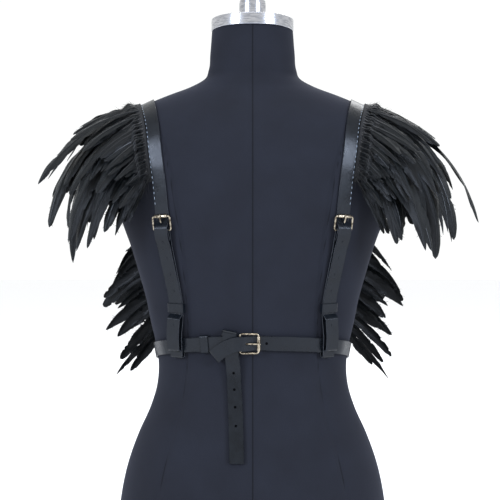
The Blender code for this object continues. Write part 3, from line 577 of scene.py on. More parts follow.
class Wardrobe:
    """Every finish, made once."""

    def __init__(self) -> None:
        """Makes the materials."""
        self.jersey = Jersey().make()
        self.leather = Leather().make()
        self.edge = CutEdge().make()
        # zinc wire plated in antique brass: brownish, rubbed bright in random patches
        self.brass = Metal("antique_brass_plate", "#a99d88", "#4f4639", 0.24, 0.48, 3.0).make()
        # spun steel, chromed: bright, with faint marks round it
        self.chrome = Metal("spun_chrome", "#b9babf", "#96989e", 0.14, 0.24, 9.0, (1.0, 1.0, 6.0)).make()
        self.vane = Vane().make()
        self.quill = Plain("feather_quill", "#15181b", "#08090a", 0.35, 6.0).make()
        self.down = Plain("feather_down", "#0c0d0f", "#030304", 0.85, 12.0).make()
        self.tape = Plain("cotton_tape", "#0c0d0f", "#060607", 0.9, 1.5).make()
        # painted glint: pale blue-grey stands in for light caught on dark glossy thread
        self.thread = Plain("waxed_thread_painted_glint", "#8f9aa6", "#56606b", 0.35, 4.0).make()


# ---- Leather strips ----

@dataclass(frozen=True)
class Strip:
    """A strap's section: flat faces, rounded burnished edges."""

    width: float = 0.017
    wall: float = 0.0018
    round: float = 0.00055
    reach: float = 0.0032
    turn: float = math.radians(5)

    def section(self) -> tuple[np.ndarray, np.ndarray]:
        """The section's points, anticlockwise, and whether each span belongs to a cut edge.

        Corners are arcs of radius round about (+-(w/2 - r), +-(t/2 - r)), with three points on each face.
        """
        a, b = self.width / 2 - self.round, self.wall / 2 - self.round
        angle = np.radians(np.array((0, 30, 60, 90)))
        corners = [(sx * a + self.round * np.cos(angle + start), sy * b + self.round * np.sin(angle + start))
                   for sx, sy, start in ((1, 1, 0), (-1, 1, math.pi / 2), (-1, -1, math.pi),
                                          (1, -1, -math.pi / 2))]
        u = np.concatenate([c[0] for c in corners])
        v = np.concatenate([c[1] for c in corners])
        face = np.array((0.5, 0.0, -0.5)) * self.width
        u = np.concatenate((u[:4], face, u[4:12], -face, u[12:]))
        v = np.concatenate((v[:4], 0 * face + self.wall / 2, v[4:12], 0 * face - self.wall / 2, v[12:]))
        edge = np.zeros(len(u), bool)
        edge[[0, 1, 8, 9, 10, 11, 19, 20, 21]] = True
        return np.stack((u, v), axis=1), edge

    def stations(self, points: np.ndarray, closed: bool) -> np.ndarray:
        """Where rings are wanted: every step ds / reach + d(angle) / turn adds up to one ring."""
        way = unit(np.diff(points, axis=0))
        bend = np.arccos(np.clip(np.sum(way[1:] * way[:-1], axis=1), -1, 1))
        cost = np.linalg.norm(np.diff(points, axis=0), axis=1) / self.reach
        cost[1:] += bend / self.turn
        total = np.concatenate(((0.0,), np.cumsum(cost)))
        count = int(total[-1]) + 2
        return np.interp(np.linspace(0, total[-1], count, endpoint=not closed), total, np.arange(len(points)))

    def lay(self, work: Patchwork, points: np.ndarray, across: np.ndarray, closed: bool = False,
            finishes: tuple[int, int] = (0, 1)) -> float:
        """Carries the section along a path: P = c(s) + u a(s) + v n(s).

        Args:
            work: what the strip is added to.
            points: (n, 3) the middle of the strip.
            across: (n, 3) its crosswise directions.
            closed: the strip's ends meet.
            finishes: the numbers of the face's and the edge's finish.
        Returns:
            The strip's length in metres.
        """
        if closed:
            points, across = np.concatenate((points, points[:1])), np.concatenate((across, across[:1]))
        at = self.stations(points, closed)
        index = np.arange(len(points))
        centre = np.stack([np.interp(at, index, points[:, k]) for k in range(3)], axis=1)
        side = unit(np.stack([np.interp(at, index, across[:, k]) for k in range(3)], axis=1))
        heading = np.roll(centre, -1, axis=0) - np.roll(centre, 1, axis=0)
        if not closed:
            heading = np.gradient(centre, axis=0)
        normal = unit(np.cross(unit(heading), side))
        section, edge = self.section()
        rings = (centre[:, None] + section[None, :, :1] * side[:, None]
                 + section[None, :, 1:] * normal[:, None])
        length = float(np.sum(np.linalg.norm(np.diff(points, axis=0), axis=1)))
        s = np.concatenate(((0.0,), np.cumsum(np.linalg.norm(np.diff(centre, axis=0), axis=1))))
        marks = np.stack(np.broadcast_arrays(section[None, :, 0], s[:, None]), axis=-1)
        size = len(section)
        faces = grid_faces(len(centre), size, closed_rows=closed, closed_columns=True)
        is_edge = edge[faces[:, 0] % size]
        start = work.count
        work.add(rings.reshape(-1, 3), faces, finishes[0], marks)
        first = len(work.finishes) - len(faces)
        work.finishes[first:] = np.where(is_edge, finishes[1], finishes[0]).tolist()
        if not closed:
            last = start + (len(centre) - 1) * size
            work.faces += [list(range(start + size - 1, start - 1, -1)), list(range(last, last + size))]
            work.finishes += [finishes[1], finishes[1]]
        return length


def oriented(piece: bpy.types.Object) -> bpy.types.Object:
    """Turns a closed piece's faces outwards."""
    shape = bmesh.new()
    shape.from_mesh(piece.data)
    bmesh.ops.recalc_face_normals(shape, faces=shape.faces)
    shape.to_mesh(piece.data)
    shape.free()
    return piece


def punch(piece: bpy.types.Object, holes: list[tuple]) -> None:
    """Cuts holes right through a strip.

    Args:
        piece: the strip.
        holes: a row each of centre, normal, crosswise direction, half length, half width and half depth.
    """
    sides = 24
    angle = math.tau * np.arange(sides) / sides
    cutter = Patchwork()
    for centre, normal, across, half_length, half_width, depth in holes:
        along = np.cross(normal, across)
        ring = half_length * np.cos(angle)[:, None] * along + half_width * np.sin(angle)[:, None] * across
        points = np.concatenate((centre - depth * normal + ring, centre + depth * normal + ring))
        caps = [list(range(sides))[::-1], list(range(sides, 2 * sides))]
        cutter.add(points, grid_faces(2, sides, closed_columns=True), 0, caps=caps)
    blade = oriented(cutter.sew(piece.name + "_punch", list(piece.data.materials)))
    cut = piece.modifiers.new("holes", "BOOLEAN")
    cut.operation, cut.object, cut.solver = "DIFFERENCE", blade, "EXACT"
    done = bpy.data.meshes.new_from_object(piece.evaluated_get(bpy.context.evaluated_depsgraph_get()))
    piece.modifiers.clear()
    piece.data = done
    done.shade_smooth()
    done.set_sharp_from_angle(angle=math.radians(40))
    bpy.data.objects.remove(blade, do_unlink=True)


@dataclass(frozen=True)
class Layers:
    """How far the middle of each layer of leather stands off the form."""

    leather: float = 0.0018
    gap: float = 0.0003
    snug: float = 0.0005
    wire: float = 0.0011
    roller: float = 0.0020
    keeper_wall: float = 0.0012

    @property
    def body(self) -> float:
        """Leather that lies on the form."""
        return self.leather / 2 + self.snug

    @property
    def belt(self) -> float:
        """The belt where straps loop round it."""
        return self.body + 0.0031

    @property
    def front(self) -> float:
        """Leather that lies on the belt."""
        return self.belt + 0.0023

    @property
    def tail(self) -> float:
        """Leather that lies on that."""
        return self.front + 0.0023

    @property
    def fold(self) -> float:
        """The radius of a fold round a buckle's bar."""
        return self.wire + self.gap + self.leather / 2


LAYERS = Layers()


def tube(points: np.ndarray, radius: np.ndarray, fixed: np.ndarray, sides: int = 12,
         closed: bool = False) -> tuple[np.ndarray, np.ndarray, list[list[int]]]:
    """A round wire: P = c(s) + r (cos(a) e1 + sin(a) e2), with e1 across both the wire and fixed.

    Args:
        points: (n, 3) the wire's middle.
        radius: its radius, or one for each point.
        fixed: a direction that no part of the wire runs in.
        sides: points round it.
        closed: its ends meet.
    Returns:
        The points, the quads, and the faces that close the ends.
    """
    heading = (unit(np.roll(points, -1, axis=0) - np.roll(points, 1, axis=0)) if closed
               else unit(np.gradient(points, axis=0)))
    first = unit(np.cross(heading, fixed))
    second = np.cross(heading, first)
    angle = math.tau * np.arange(sides) / sides
    radius = np.broadcast_to(radius, len(points))[:, None, None]
    rings = points[:, None] + radius * (np.cos(angle)[None, :, None] * first[:, None]
                                        + np.sin(angle)[None, :, None] * second[:, None])
    last = (len(points) - 1) * sides
    caps = [] if closed else [list(range(sides))[::-1], list(range(last, last + sides))]
    return rings.reshape(-1, 3), grid_faces(len(points), sides, closed, True), caps


@dataclass
class Buckle:
    """A wire frame with a roller on its end bar and a prong from its heel bar."""

    course: Course
    middle: float
    length: float
    width: float
    bar_off: float
    corner: float = 0.0028

    def __post_init__(self) -> None:
        """Works out the buckle's own axes: along it, across the strap and out from the form."""
        self.half_length = self.length / 2 - LAYERS.wire
        self.half_width = self.width / 2 - LAYERS.wire
        bars, across = self.course.lift(self.middle + self.half_length * np.array((-1, 1)),
                                        np.full(2, self.bar_off))
        self.along = unit(bars[1] - bars[0])
        side = across[0] + across[1]
        self.across = unit(side - (side @ self.along) * self.along)
        self.out = unit(np.cross(self.across, self.along))
        self.origin = bars.mean(axis=0) - self.bar_off * self.out

    @property
    def heel(self) -> float:
        """The heel bar's distance along the course."""
        return self.middle - self.half_length

    @property
    def end(self) -> float:
        """The end bar's distance along the course."""
        return self.middle + self.half_length

    def at(self, along: np.ndarray, across: np.ndarray, out: np.ndarray) -> np.ndarray:
        """Points from distances along, across and out."""
        return (self.origin + np.multiply.outer(along, self.along) + np.multiply.outer(across, self.across)
                + np.multiply.outer(out, self.out))

    def build(self, prefix: str, suffix: str, metal: bpy.types.Material, mirrored: bool) -> None:
        """Makes the frame, the roller and the prong, one piece each."""
        turn = np.radians(np.linspace(0, 90, 8))
        signs = np.array(((1, 1), (-1, 1), (-1, -1), (1, -1)), float)
        angle = turn[None] + math.pi / 2 * np.arange(4)[:, None]
        u = ((self.half_length - self.corner) * signs[:, :1] + self.corner * np.cos(angle)).ravel()
        v = ((self.half_width - self.corner) * signs[:, 1:] + self.corner * np.sin(angle)).ravel()
        wire = self.at(u, v, np.full(len(u), self.bar_off))
        self.piece(f"{prefix}_frame{suffix}", metal, mirrored, *tube(wire, LAYERS.wire, self.out, 14, True))

        bar, reach = self.half_length, self.half_width - self.corner - LAYERS.gap
        angle = math.tau * np.arange(28) / 28
        # radius and place of the roller's wall, with rounded ends
        wall = np.array(((1.00, -0.93), (1.00, 0.93), (0.90, 1.00), (0.72, 1.00), (0.72, -1.00),
                         (0.90, -1.00)))
        rings = [self.at(bar + LAYERS.roller * r * np.cos(angle), np.full(28, reach * w),
                         self.bar_off + LAYERS.roller * r * np.sin(angle)) for r, w in wall]
        self.piece(f"{prefix}_roller{suffix}", metal, mirrored, np.concatenate(rings),
                   grid_faces(len(wall), 28, True, True), [])

        root = -self.half_length + LAYERS.fold + LAYERS.leather / 2 + LAYERS.gap + 0.0003
        top = self.bar_off + LAYERS.roller + LAYERS.gap + 0.0009
        known = np.arange(6.0)
        table = np.array(((root, self.bar_off, 1.0), (root + 0.0015, self.bar_off + 0.0002, 1.0),
                          (bar - 0.0045, top - 0.0006, 1.0), (bar - 0.0010, top, 1.0),
                          (bar + 0.0012, top, 0.9), (bar + 0.0024, top - 0.0004, 0.55)))
        u, w, thick = smooth(np.linspace(0, 5, 30), known, table).T
        self.piece(f"{prefix}_prong{suffix}", metal, mirrored,
                   *tube(self.at(u, 0 * u, w), thick * 0.0009, self.across, 12))

    @staticmethod
    def piece(name: str, metal: bpy.types.Material, mirrored: bool, points: np.ndarray, faces: np.ndarray,
              caps: list[list[int]]) -> None:
        """Makes one metal piece in place of the CAD node of that name."""
        work = Patchwork()
        work.add(points, faces, 0, caps=caps)
        settle(oriented(work.sew(name + "_fine", [metal], mirrored)), "buckle_metal", name)


@dataclass
class Keeper:
    """A leather band round the straps: a rounded rectangle carried round them."""

    course: Course
    place: float
    length: float
    inner_off: float
    outer_off: float
    width: float

    def build(self, name: str, skins: Wardrobe, mirrored: bool, form: str) -> None:
        """Makes the band as one closed strip."""
        centre, across = self.course.lift(np.array((self.place,)), np.zeros(1))
        normal = unit(self.course.take(self.course.normal, np.array((self.place,))))
        along = np.cross(normal, across)[0]
        low, high = self.inner_off, self.outer_off
        corner = min(0.0011, (high - low) / 2 - 1e-5)
        half, middle = self.width / 2 + LAYERS.keeper_wall / 2 - corner, (high + low) / 2
        angle = np.radians(np.linspace(0, 90, 7))[None] + math.pi / 2 * np.arange(4)[:, None]
        signs = np.array(((1, 1), (-1, 1), (-1, -1), (1, -1)), float)
        u = (half * signs[:, :1] + corner * np.cos(angle)).ravel()
        v = (middle + ((high - low) / 2 - corner) * signs[:, 1:] + corner * np.sin(angle)).ravel()
        path = centre[0] + u[:, None] * across[0] + v[:, None] * normal[0]
        work = Patchwork()
        band = Strip(self.length, LAYERS.keeper_wall, 0.0004, 0.002, math.radians(14))
        length = band.lay(work, path, np.tile(along, (len(path), 1)), closed=True)
        piece = settle(oriented(work.sew(name + "_fine", [skins.leather, skins.edge], mirrored)),
                       "leather", name)


# ---- The shoulder straps ----

@dataclass
class ShoulderStraps:
    """One side's strap, up the back and down the front, with its buckle, keeper and short strap."""

    side: Side
    course: Course
    buckle_height: float = 0.4290
    keeper_height: float = 0.3295
    first_hole: float = 0.4084
    hole_pitch: float = 0.020
    hole_radius: float = 0.0016
    belt_dip: float = 0.194
    belt_middle: float = 0.2725
    belt_slant: float = 0.0032
    short_end: float = 0.012
    tail_bulge: float = 0.0036
    tail_curl: float = 0.0032
    tail_below: float = 0.0048
    stitch_pitch: float = 0.0062
    strip: Strip = field(default_factory=Strip)

    def build(self, skins: Wardrobe, form: str) -> None:
        """Makes the strap, the buckle strap, the keeper, the buckle and the stitches."""
        L, course = LAYERS, self.course
        behind, before = course.places()
        middle = behind(self.buckle_height)
        bar_off = L.body + L.leather / 2 + L.gap + L.roller + 0.0004
        buckle = Buckle(course, middle, 0.0190, 0.0250, bar_off)
        heel, end_bar, half = buckle.heel, buckle.end, self.strip.width / 2
        above = course.points[:, 2] + self.belt_dip * course.points[:, 1] - self.belt_middle
        crossing = course.along[1:][np.sign(above[1:]) != np.sign(above[:-1])]
        low, front = crossing[0] - half - self.belt_slant, crossing[-1] + 1.9 * self.belt_slant
        keeper_s = behind(self.keeper_height)
        held = L.snug + L.keeper_wall + L.gap + L.leather / 2
        held_tail = held + L.leather + L.gap
        over_fold = bar_off + L.fold + L.leather + L.gap + 0.0004
        bulge = L.tail + self.tail_bulge
        tail = crossing[0] - self.tail_below + self.tail_curl
        path = joined(
            arc(tail, bulge - self.tail_curl, self.tail_curl, -104, 0),
            run((tail + 0.001, bulge), (tail + 0.013, bulge + 0.0003), (keeper_s - 0.0130, bulge - 0.0016),
                (keeper_s - 0.0068, held_tail), (keeper_s + 0.0068, held_tail),
                (heel - self.short_end - 0.012, held_tail + 0.0016), (heel - 0.004, over_fold),
                (heel + 0.002, over_fold - 0.0003), (end_bar - 0.002, L.body), (end_bar + 0.010, L.body)),
            run((end_bar + 0.011, L.body), (front - 0.040, L.body), (front - half - 0.004, L.front),
                (front + half, L.front)),
            arc(front + half + 0.0006, L.belt, L.front - L.belt, 0, 180),
            run((front + half, 2 * L.belt - L.front), (front + half - 0.007, L.body),
                (front - half - 0.004, L.body)))
        centre, across = course.lift(*path)
        strap = self.piece("shoulder_strap", centre, across, skins, form)
        self.punch(strap, path[0], centre, across, keeper_s, behind(self.first_hole), middle)

        inner = bar_off - L.fold
        path = joined(
            run((heel - self.short_end, inner + L.leather + L.gap + 0.0008),
                (heel - 0.0005, bar_off + L.fold)),
            arc(heel, bar_off, L.fold, 0, 180),
            run((heel - 0.001, inner), (heel - 0.010, held - 0.0004), (keeper_s, held),
                (keeper_s - 0.009, held), (low + 2 * half + 0.0030, L.front), (low + 0.0002, L.front)),
            arc(low, L.belt, L.front - L.belt, 0, -180),
            run((low + 0.0005, 2 * L.belt - L.front), (low + 0.007, L.body),
                (low + 2 * half + 0.0025, L.body)))
        self.piece("buckle_strap", *course.lift(*path), skins, form)

        Keeper(course, keeper_s, 0.0110, L.snug + L.keeper_wall / 2,
               held_tail + L.leather / 2 + L.gap + L.keeper_wall / 2, self.strip.width + 0.0020
               ).build("strap_keeper_" + self.side.value, skins, self.side.mirrored, form)
        buckle.build("shoulder_buckle", "_" + self.side.value, skins.brass, self.side.mirrored)
        self.stitches(behind(0.452), before(0.46), skins)

    def piece(self, prefix: str, centre: np.ndarray, across: np.ndarray, skins: Wardrobe,
              form: str) -> bpy.types.Object:
        work = Patchwork()
        length = self.strip.lay(work, centre, across)
        name = f"{prefix}_{self.side.value}"
        made = oriented(work.sew(name + "_fine", [skins.leather, skins.edge], self.side.mirrored))
        settle(made, "leather", name)
        return made

    def punch(self, strap: bpy.types.Object, s: np.ndarray, centre: np.ndarray, across: np.ndarray,
              keeper_s: float, first: float, slot: float) -> None:
        """Punches the row of holes and the prong's slot."""
        rows = first - self.hole_pitch * np.arange(6)
        rows = rows[np.abs(rows - keeper_s) > 0.008]
        sign = np.array((-1.0, 1.0, 1.0)) if self.side.mirrored else np.ones(3)
        heading = unit(np.gradient(centre, axis=0))
        normal = unit(np.cross(heading, across))
        holes = []
        for place, half_length, depth in [(r, self.hole_radius, 0.00125) for r in rows] + [
                (slot + 0.0002, 0.0034, 0.0020)]:
            i = int(np.argmin(np.abs(s - place) + (np.arange(len(s)) < 40) * 1.0))
            holes.append((centre[i] * sign, normal[i] * sign, across[i] * sign, half_length, self.hole_radius,
                          depth))
        punch(strap, holes)

    def stitches(self, start: float, end: float, skins: Wardrobe) -> None:
        """The waxed stitches that hold the feather tapes, near the strap's outer edge; their pale blue-grey
        thread is a painted glint.
        """
        count = int((end - start) / self.stitch_pitch)
        s = start + self.stitch_pitch * np.arange(count)
        centre, across = self.course.lift(s, np.full(count, LAYERS.body + LAYERS.leather / 2))
        normal = unit(self.course.take(self.course.normal, s))
        heading = unit(self.course.take(self.course.heading, s))
        outward = across * np.sign(across[:, :1])
        u = np.linspace(-1, 1, 9)
        # each stitch is an ellipsoid-like capsule: it rises as 1 - u^2 and thins at both ends
        line = (centre[:, None] + outward[:, None] * (self.strip.width / 2 - 0.0012)
                + heading[:, None] * (0.0017 * u)[None, :, None]
                + normal[:, None] * (0.00025 - 0.0006 * u ** 4)[None, :, None])
        angle = math.tau * np.arange(6) / 6
        radius = 0.00032 * np.sqrt(1.03 - u ** 2)
        rings = (line[:, :, None] + radius[None, :, None, None]
                 * (np.cos(angle)[:, None] * outward[:, None, None]
                     + np.sin(angle)[:, None] * normal[:, None, None]))
        work = Patchwork()
        work.add(rings.reshape(count, -1, 3), grid_faces(9, 6, False, True), 0,
                 caps=[list(range(6))[::-1], list(range(48, 54))])
        made = oriented(work.sew("tape_stitches_" + self.side.value, [skins.thread], self.side.mirrored))
        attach(made, "root")
        LOG.info("%s: %d stitches", made.name, count)


# ---- The waist belt ----

@dataclass
class WaistBelt:
    """The belt with its buckle and keeper; its tail is knotted once round it and hangs."""

    course: Course
    place: float = -0.0038
    keeper_place: float = -0.0560
    hole_heights: tuple[float, ...] = (0.2531, 0.2328, 0.2129, 0.1924)
    strip: Strip = field(default_factory=Strip)
    # columns: sideways, height, off, slant of the crosswise direction in degrees from upright
    behind: np.ndarray = field(default_factory=lambda: np.array((
        (-0.0400, 0.2755, 0.0, 42.0), (-0.0362, 0.2800, 0.0, 52.0), (-0.0320, 0.2870, 0.0, 63.0),
        (-0.0288, 0.2940, 0.0, 74.0), (-0.0268, 0.3000, 0.0002, 80.0)))
        + np.array((0, 0, LAYERS.body, 0)))
    hanging: np.ndarray = field(default_factory=lambda: np.array((
        (-0.0262, 0.3000, LAYERS.front, 80.0), (-0.0250, 0.2880, LAYERS.front, 84.0),
        (-0.0240, 0.2780, LAYERS.front, 86.0), (-0.0230, 0.2700, LAYERS.front - 0.0006, 87.0),
        (-0.0218, 0.2560, LAYERS.body + 0.0030, 87.0), (-0.0210, 0.2350, LAYERS.body + 0.0016, 88.0),
        (-0.0200, 0.2140, LAYERS.body + 0.0012, 88.0), (-0.0192, 0.1920, LAYERS.body + 0.0010, 88.0),
        (-0.0182, 0.1510, LAYERS.body + 0.0012, 88.0))))

    @staticmethod
    def dense(table: np.ndarray, count: int) -> np.ndarray:
        """The table's rows on a cubic through them."""
        return smooth(np.linspace(0, len(table) - 1, count), np.arange(len(table), dtype=float), table)

    @staticmethod
    def half_turn(first: np.ndarray, last: np.ndarray) -> np.ndarray:
        """The fold between two runs: off goes as cos(a) and the fold reaches r sin(a) past them."""
        angle = np.linspace(0, math.pi, 26)[1:-1]
        slant = math.radians((first[3] + last[3]) / 2)
        way = np.array((0.15, 0.99)) if last[2] > first[2] else np.array((-math.cos(slant), -math.sin(slant)))
        rows = first + (last - first) * (angle / math.pi)[:, None]
        rows[:, 2] = (first[2] + last[2]) / 2 + (first[2] - last[2]) / 2 * np.cos(angle)
        rows[:, 0:2] += way * abs(last[2] - first[2]) / 2 * np.sin(angle)[:, None]
        return rows

    def build(self, skins: Wardrobe, form: str) -> None:
        """Makes the belt, its keeper and its buckle."""
        L, course = LAYERS, self.course
        bar_off = L.belt + 0.0018
        buckle = Buckle(course, self.place, 0.0239, 0.0250, bar_off)
        heel = buckle.heel
        under = bar_off - L.roller - L.gap - L.leather / 2 - 0.0002
        over = bar_off + L.fold + L.leather + L.gap
        end = buckle.end - course.total
        round_s = np.linspace(heel - 0.012, end + 0.016, 700)
        x = np.abs(course.take(course.points, round_s)[:, 0])
        round_off = L.belt + (L.body + 0.0006 - L.belt) * ease(x, 0.1015, 0.1150)
        path = joined(
            run((heel - 0.0012, bar_off + L.fold), (heel - 0.0002, bar_off + L.fold)),
            arc(heel, bar_off, L.fold, 0, 180),
            run((heel - 0.001, bar_off - L.fold), (heel - 0.011, L.belt)),
            (round_s, round_off),
            run((end + 0.015, L.belt), (end + 0.004, under), (end - 0.003, under), (end - 0.0205, over),
                (end - 0.024, over)))
        centre, across = course.lift(*path)
        # columns: sideways, height, off, slant
        crossing = np.array(((-0.0205, 0.2876, over - 0.0002, 7.0), (-0.0250, 0.2858, over - 0.0010, 20.0),
                             (-0.0310, 0.2826, L.tail + 0.0004, 32.0), (-0.0370, 0.2782, L.tail, 38.0),
                             (-0.0412, 0.2744, L.tail, 42.0)))
        rows = np.concatenate((self.dense(crossing, 40), self.half_turn(crossing[-1], self.behind[0]),
                               self.dense(self.behind, 40), self.half_turn(self.behind[-1], self.hanging[0]),
                               self.dense(self.hanging, 160)))
        base = FORM.on_back(rows[:, 0], rows[:, 1])
        normal = FORM.normal(base)
        slant = np.radians(rows[:, 3])
        flat = np.stack((-np.sin(slant), 0 * slant, np.cos(slant)), axis=1)
        turned = unit(flat - dot(flat, normal) * normal)
        turned = turned * np.sign(np.sum(across[-1] * turned[0]))
        start = len(centre)
        centre = np.concatenate((centre, base + rows[:, 2:3] * normal))
        across = np.concatenate((across, turned))
        work = Patchwork()
        length = self.strip.lay(work, centre, across)
        belt = oriented(work.sew("waist_belt_fine", [skins.leather, skins.edge]))
        settle(belt, "leather", "waist_belt")

        out = unit(np.cross(unit(np.gradient(centre, axis=0)), across))
        spots = [(start + len(rows) - 160 + int(np.argmin(np.abs(rows[-160:, 1] - h))), 0.0016, 0.00125)
                 for h in self.hole_heights]
        spots += [(start - 200 + int(np.argmin(np.abs(path[0][-200:] + course.total - s))), half, depth)
                  for s, half, depth in ((0.0160, 0.0016, 0.00125), (self.place - 0.0017, 0.0042, 0.0020))]
        punch(belt, [(centre[i], out[i], across[i], half, 0.0016, depth) for i, half, depth in spots])

        Keeper(course, self.keeper_place, 0.0100, L.snug + L.keeper_wall / 2,
               L.belt + L.leather / 2 + L.gap + L.keeper_wall / 2, self.strip.width + 0.0016
               ).build("belt_keeper", skins, False, form)
        buckle.build("belt_buckle", "", skins.brass, False)


# ---- Feathers ----

@dataclass
class Plumage:
    """One tape of feathers: each is a cupped vane on a bending quill, with down at its root."""

    node: str
    side: Side
    course: Course
    start: float
    end: float
    fan: np.ndarray
    layer: int
    length_share: float
    lift: float
    width: float
    count: int
    facing_share: float
    seed: int
    scatter: float = 1.0
    strap_width: float = 0.017
    tape_width: float = 0.007
    tape_wall: float = 0.0012
    quill_radius: float = 0.00062
    down_half_width: float = 0.00026
    barbs_each: int = 16
    along: int = 40
    wide: int = 9

    def build(self, skins: Wardrobe) -> None:
        """Makes the tape and its feathers as one piece."""
        chance = np.random.default_rng(self.seed)
        n = self.count
        share = np.clip((np.arange(n) + 0.5 + chance.uniform(-0.4, 0.4, n)) / n, 0, 1)
        heading, root_pitch, tip_pitch, length = smooth(share, self.fan[:, 0], self.fan[:, 1:]).T
        length = length * self.length_share * chance.uniform(0.74, 1.05, n)
        heading = heading + chance.normal(0, 5.0, n) * self.scatter
        root_pitch = root_pitch + chance.normal(0, 4.0, n) * self.scatter
        s = self.start + share * (self.end - self.start)
        off = 0.0005 + self.tape_wall / 2 + self.layer * (self.tape_wall + 0.0003)
        centre, across = self.course.lift(s, np.full(n, off))
        rise = unit(self.course.take(self.course.normal, s))
        tape_way = unit(self.course.take(self.course.heading, s))
        outward = across * np.sign(across[:, :1])
        root = centre + outward * (self.strap_width / 2 + 0.0003 + self.tape_width * 0.35)
        line = self.lines(root, rise, share, heading, root_pitch, tip_pitch, length, chance)
        wide, flat = self.frames(line, rise, tape_way, share, chance)
        work = Patchwork()
        self.vanes(work, line, wide, flat, share, length, chance)
        self.quills(work, line, wide, flat)
        self.down(work, line, wide, flat, chance)
        self.tape(work)
        name = self.node + "_fine"
        settle(work.sew(name, [skins.vane, skins.quill, skins.down, skins.tape], self.side.mirrored, 60.0),
               "feather", self.node)

    def lines(self, root: np.ndarray, rise: np.ndarray, share: np.ndarray, heading: np.ndarray,
              root_pitch: np.ndarray, tip_pitch: np.ndarray, length: np.ndarray,
              chance: np.random.Generator) -> np.ndarray:
        """The quills' middle lines: directions (cos p cos h, -cos p sin h, -sin p) added up.

        The pitch p grows evenly from root to tip, and each direction is turned by the row's lift
        towards the feather's face. Points too near the form are pushed out of it.
        Returns:
            (feathers, along, 3) points.
        """
        u = np.linspace(0, 1, self.along)[None]
        bend = (tip_pitch - root_pitch) * self.length_share * chance.uniform(0.85, 1.15, len(share))
        pitch = np.radians(root_pitch[:, None] + bend[:, None] * u)
        stray = chance.normal(0, 7.0, len(share))[:, None] * self.scatter
        turn = np.radians(heading[:, None] + stray * u ** 2)
        way = np.stack((np.cos(pitch) * np.cos(turn), -np.cos(pitch) * np.sin(turn), -np.sin(pitch)), axis=-1)
        face = unit(rise[:, None] - dot(way, rise[:, None]) * way)
        raised = np.radians(self.lift * (1 + 1.6 * (2 * share - 1) ** 2)
                            + chance.uniform(0, 5.0, len(share)))[:, None, None]
        way = way * np.cos(raised) + face * np.sin(raised)
        steps = (way[:, 1:] + way[:, :-1]) / 2 * (length / (self.along - 1))[:, None, None]
        start = np.zeros((len(share), 1, 3))
        line = root[:, None] + np.concatenate((start, np.cumsum(steps, axis=1)), axis=1)
        run_out = length[:, None] * u
        row_room = 0.35 + 0.65 * ease(np.abs(2 * share - 1), 0.15, 0.85)[:, None]
        room = (0.0032 + 0.0070 * self.layer * row_room) * ease(run_out, -0.004, 0.012)
        line[:, 1:] = FORM.clear(line, room)[:, 1:]
        return line

    def frames(self, line: np.ndarray, rise: np.ndarray, tape_way: np.ndarray, share: np.ndarray,
               chance: np.random.Generator) -> tuple[np.ndarray, np.ndarray]:
        """Each feather's crosswise and outward directions along it.

        The outward one is the strap's normal, drawn to the form's where the feather lies near it, and at
        the wing's tip to a direction that shows its face from behind or from the front.
        """
        u = np.linspace(0, 1, self.along)[None, :, None]
        way = unit(np.gradient(line, axis=1))
        close = np.exp(-(FORM.distance(line) / 0.035) ** 2)[..., None]
        forward = (2 * ease(share, 0.50, 0.95) - 1)[:, None]
        facing = np.concatenate((0 * forward + 0.45, 0.85 * forward, 0 * forward + 0.25), axis=1)
        facing = unit(facing)[:, None]
        face = unit(rise[:, None] * (1 - close) + FORM.normal(line) * close)
        drawn = self.facing_share * u * u * (1 - close)
        face = unit(face * (1 - drawn) + facing * drawn)
        flat = unit(face - dot(face, way) * way)
        handed = np.sign(dot(np.cross(rise, tape_way), line[:, 6] - line[:, 0]))[:, None]
        wide = -unit(np.cross(flat, way)) * handed
        tilt = (np.radians(8 + chance.normal(0, 12.0, len(share)))[:, None, None]) * np.minimum(1.0, 3 * u)
        turned = wide * np.cos(tilt) + flat * np.sin(tilt)
        return turned, flat * np.cos(tilt) - wide * np.sin(tilt)

    def vanes(self, work: Patchwork, line: np.ndarray, wide: np.ndarray, flat: np.ndarray, share: np.ndarray,
              length: np.ndarray, chance: np.random.Generator) -> None:
        """P(u, v) = c(u) + h v w - cup h v^2 n + lean h |v| t, with the half width h(u) torn at the edges.

        h grows from the downy root, and ends as (1 - t)^0.8 on a pointed feather or as the quarter of an
        ellipse, sqrt(1 - t^2), on a rounded one. Tears are short dips of h on one side.
        """
        n, m = line.shape[:2]
        u = np.linspace(0, 1, m)[None]
        v = np.linspace(-1, 1, self.wide)
        slender = 0.55 + 0.45 * ease(share, 0, 0.12)[:, None]
        full = self.width / 2 * slender * np.minimum(1.0, 0.45 + 0.55 * length / 0.17)[:, None]
        full = full * chance.uniform(0.80, 1.25, n)[:, None]
        roundness = chance.uniform(0, 1, n)[:, None] ** 1.3
        t = np.clip((u - 0.62) / 0.38, 0, 1)
        end = roundness * np.sqrt(np.maximum(1 - t ** 2.4, 0)) + (1 - roundness) * (1 - t) ** 0.8
        half = full * (0.24 + 0.76 * ease(u, 0.03, 0.40)) * np.maximum(end, 0.02)
        torn = np.where(chance.uniform(0, 1, (n, m, 2)) < 0.06, chance.uniform(0.10, 0.45, (n, m, 2)), 0.0)
        torn = torn + chance.uniform(0, 0.05, (n, m, 2))
        side = np.where(v[None, None] > 0, torn[..., :1], torn[..., 1:])
        reach = half[..., None] * v * (1 - side * np.abs(v) ** 2)
        cup = chance.uniform(0.10, 0.40, n)[:, None, None]
        wave = 0.10 * np.sin(u[..., None] * 21 + chance.uniform(0, 6.3, n)[:, None, None] + 2 * v)
        drop = half[..., None] * (-cup * v ** 2 + wave * np.abs(v) ** 3)
        sweep = half[..., None] * 0.55 * np.abs(v)
        way = unit(np.gradient(line, axis=1))
        points = (line[:, :, None] + reach[..., None] * wide[:, :, None] + drop[..., None] * flat[:, :, None]
                  + sweep[..., None] * way[:, :, None])
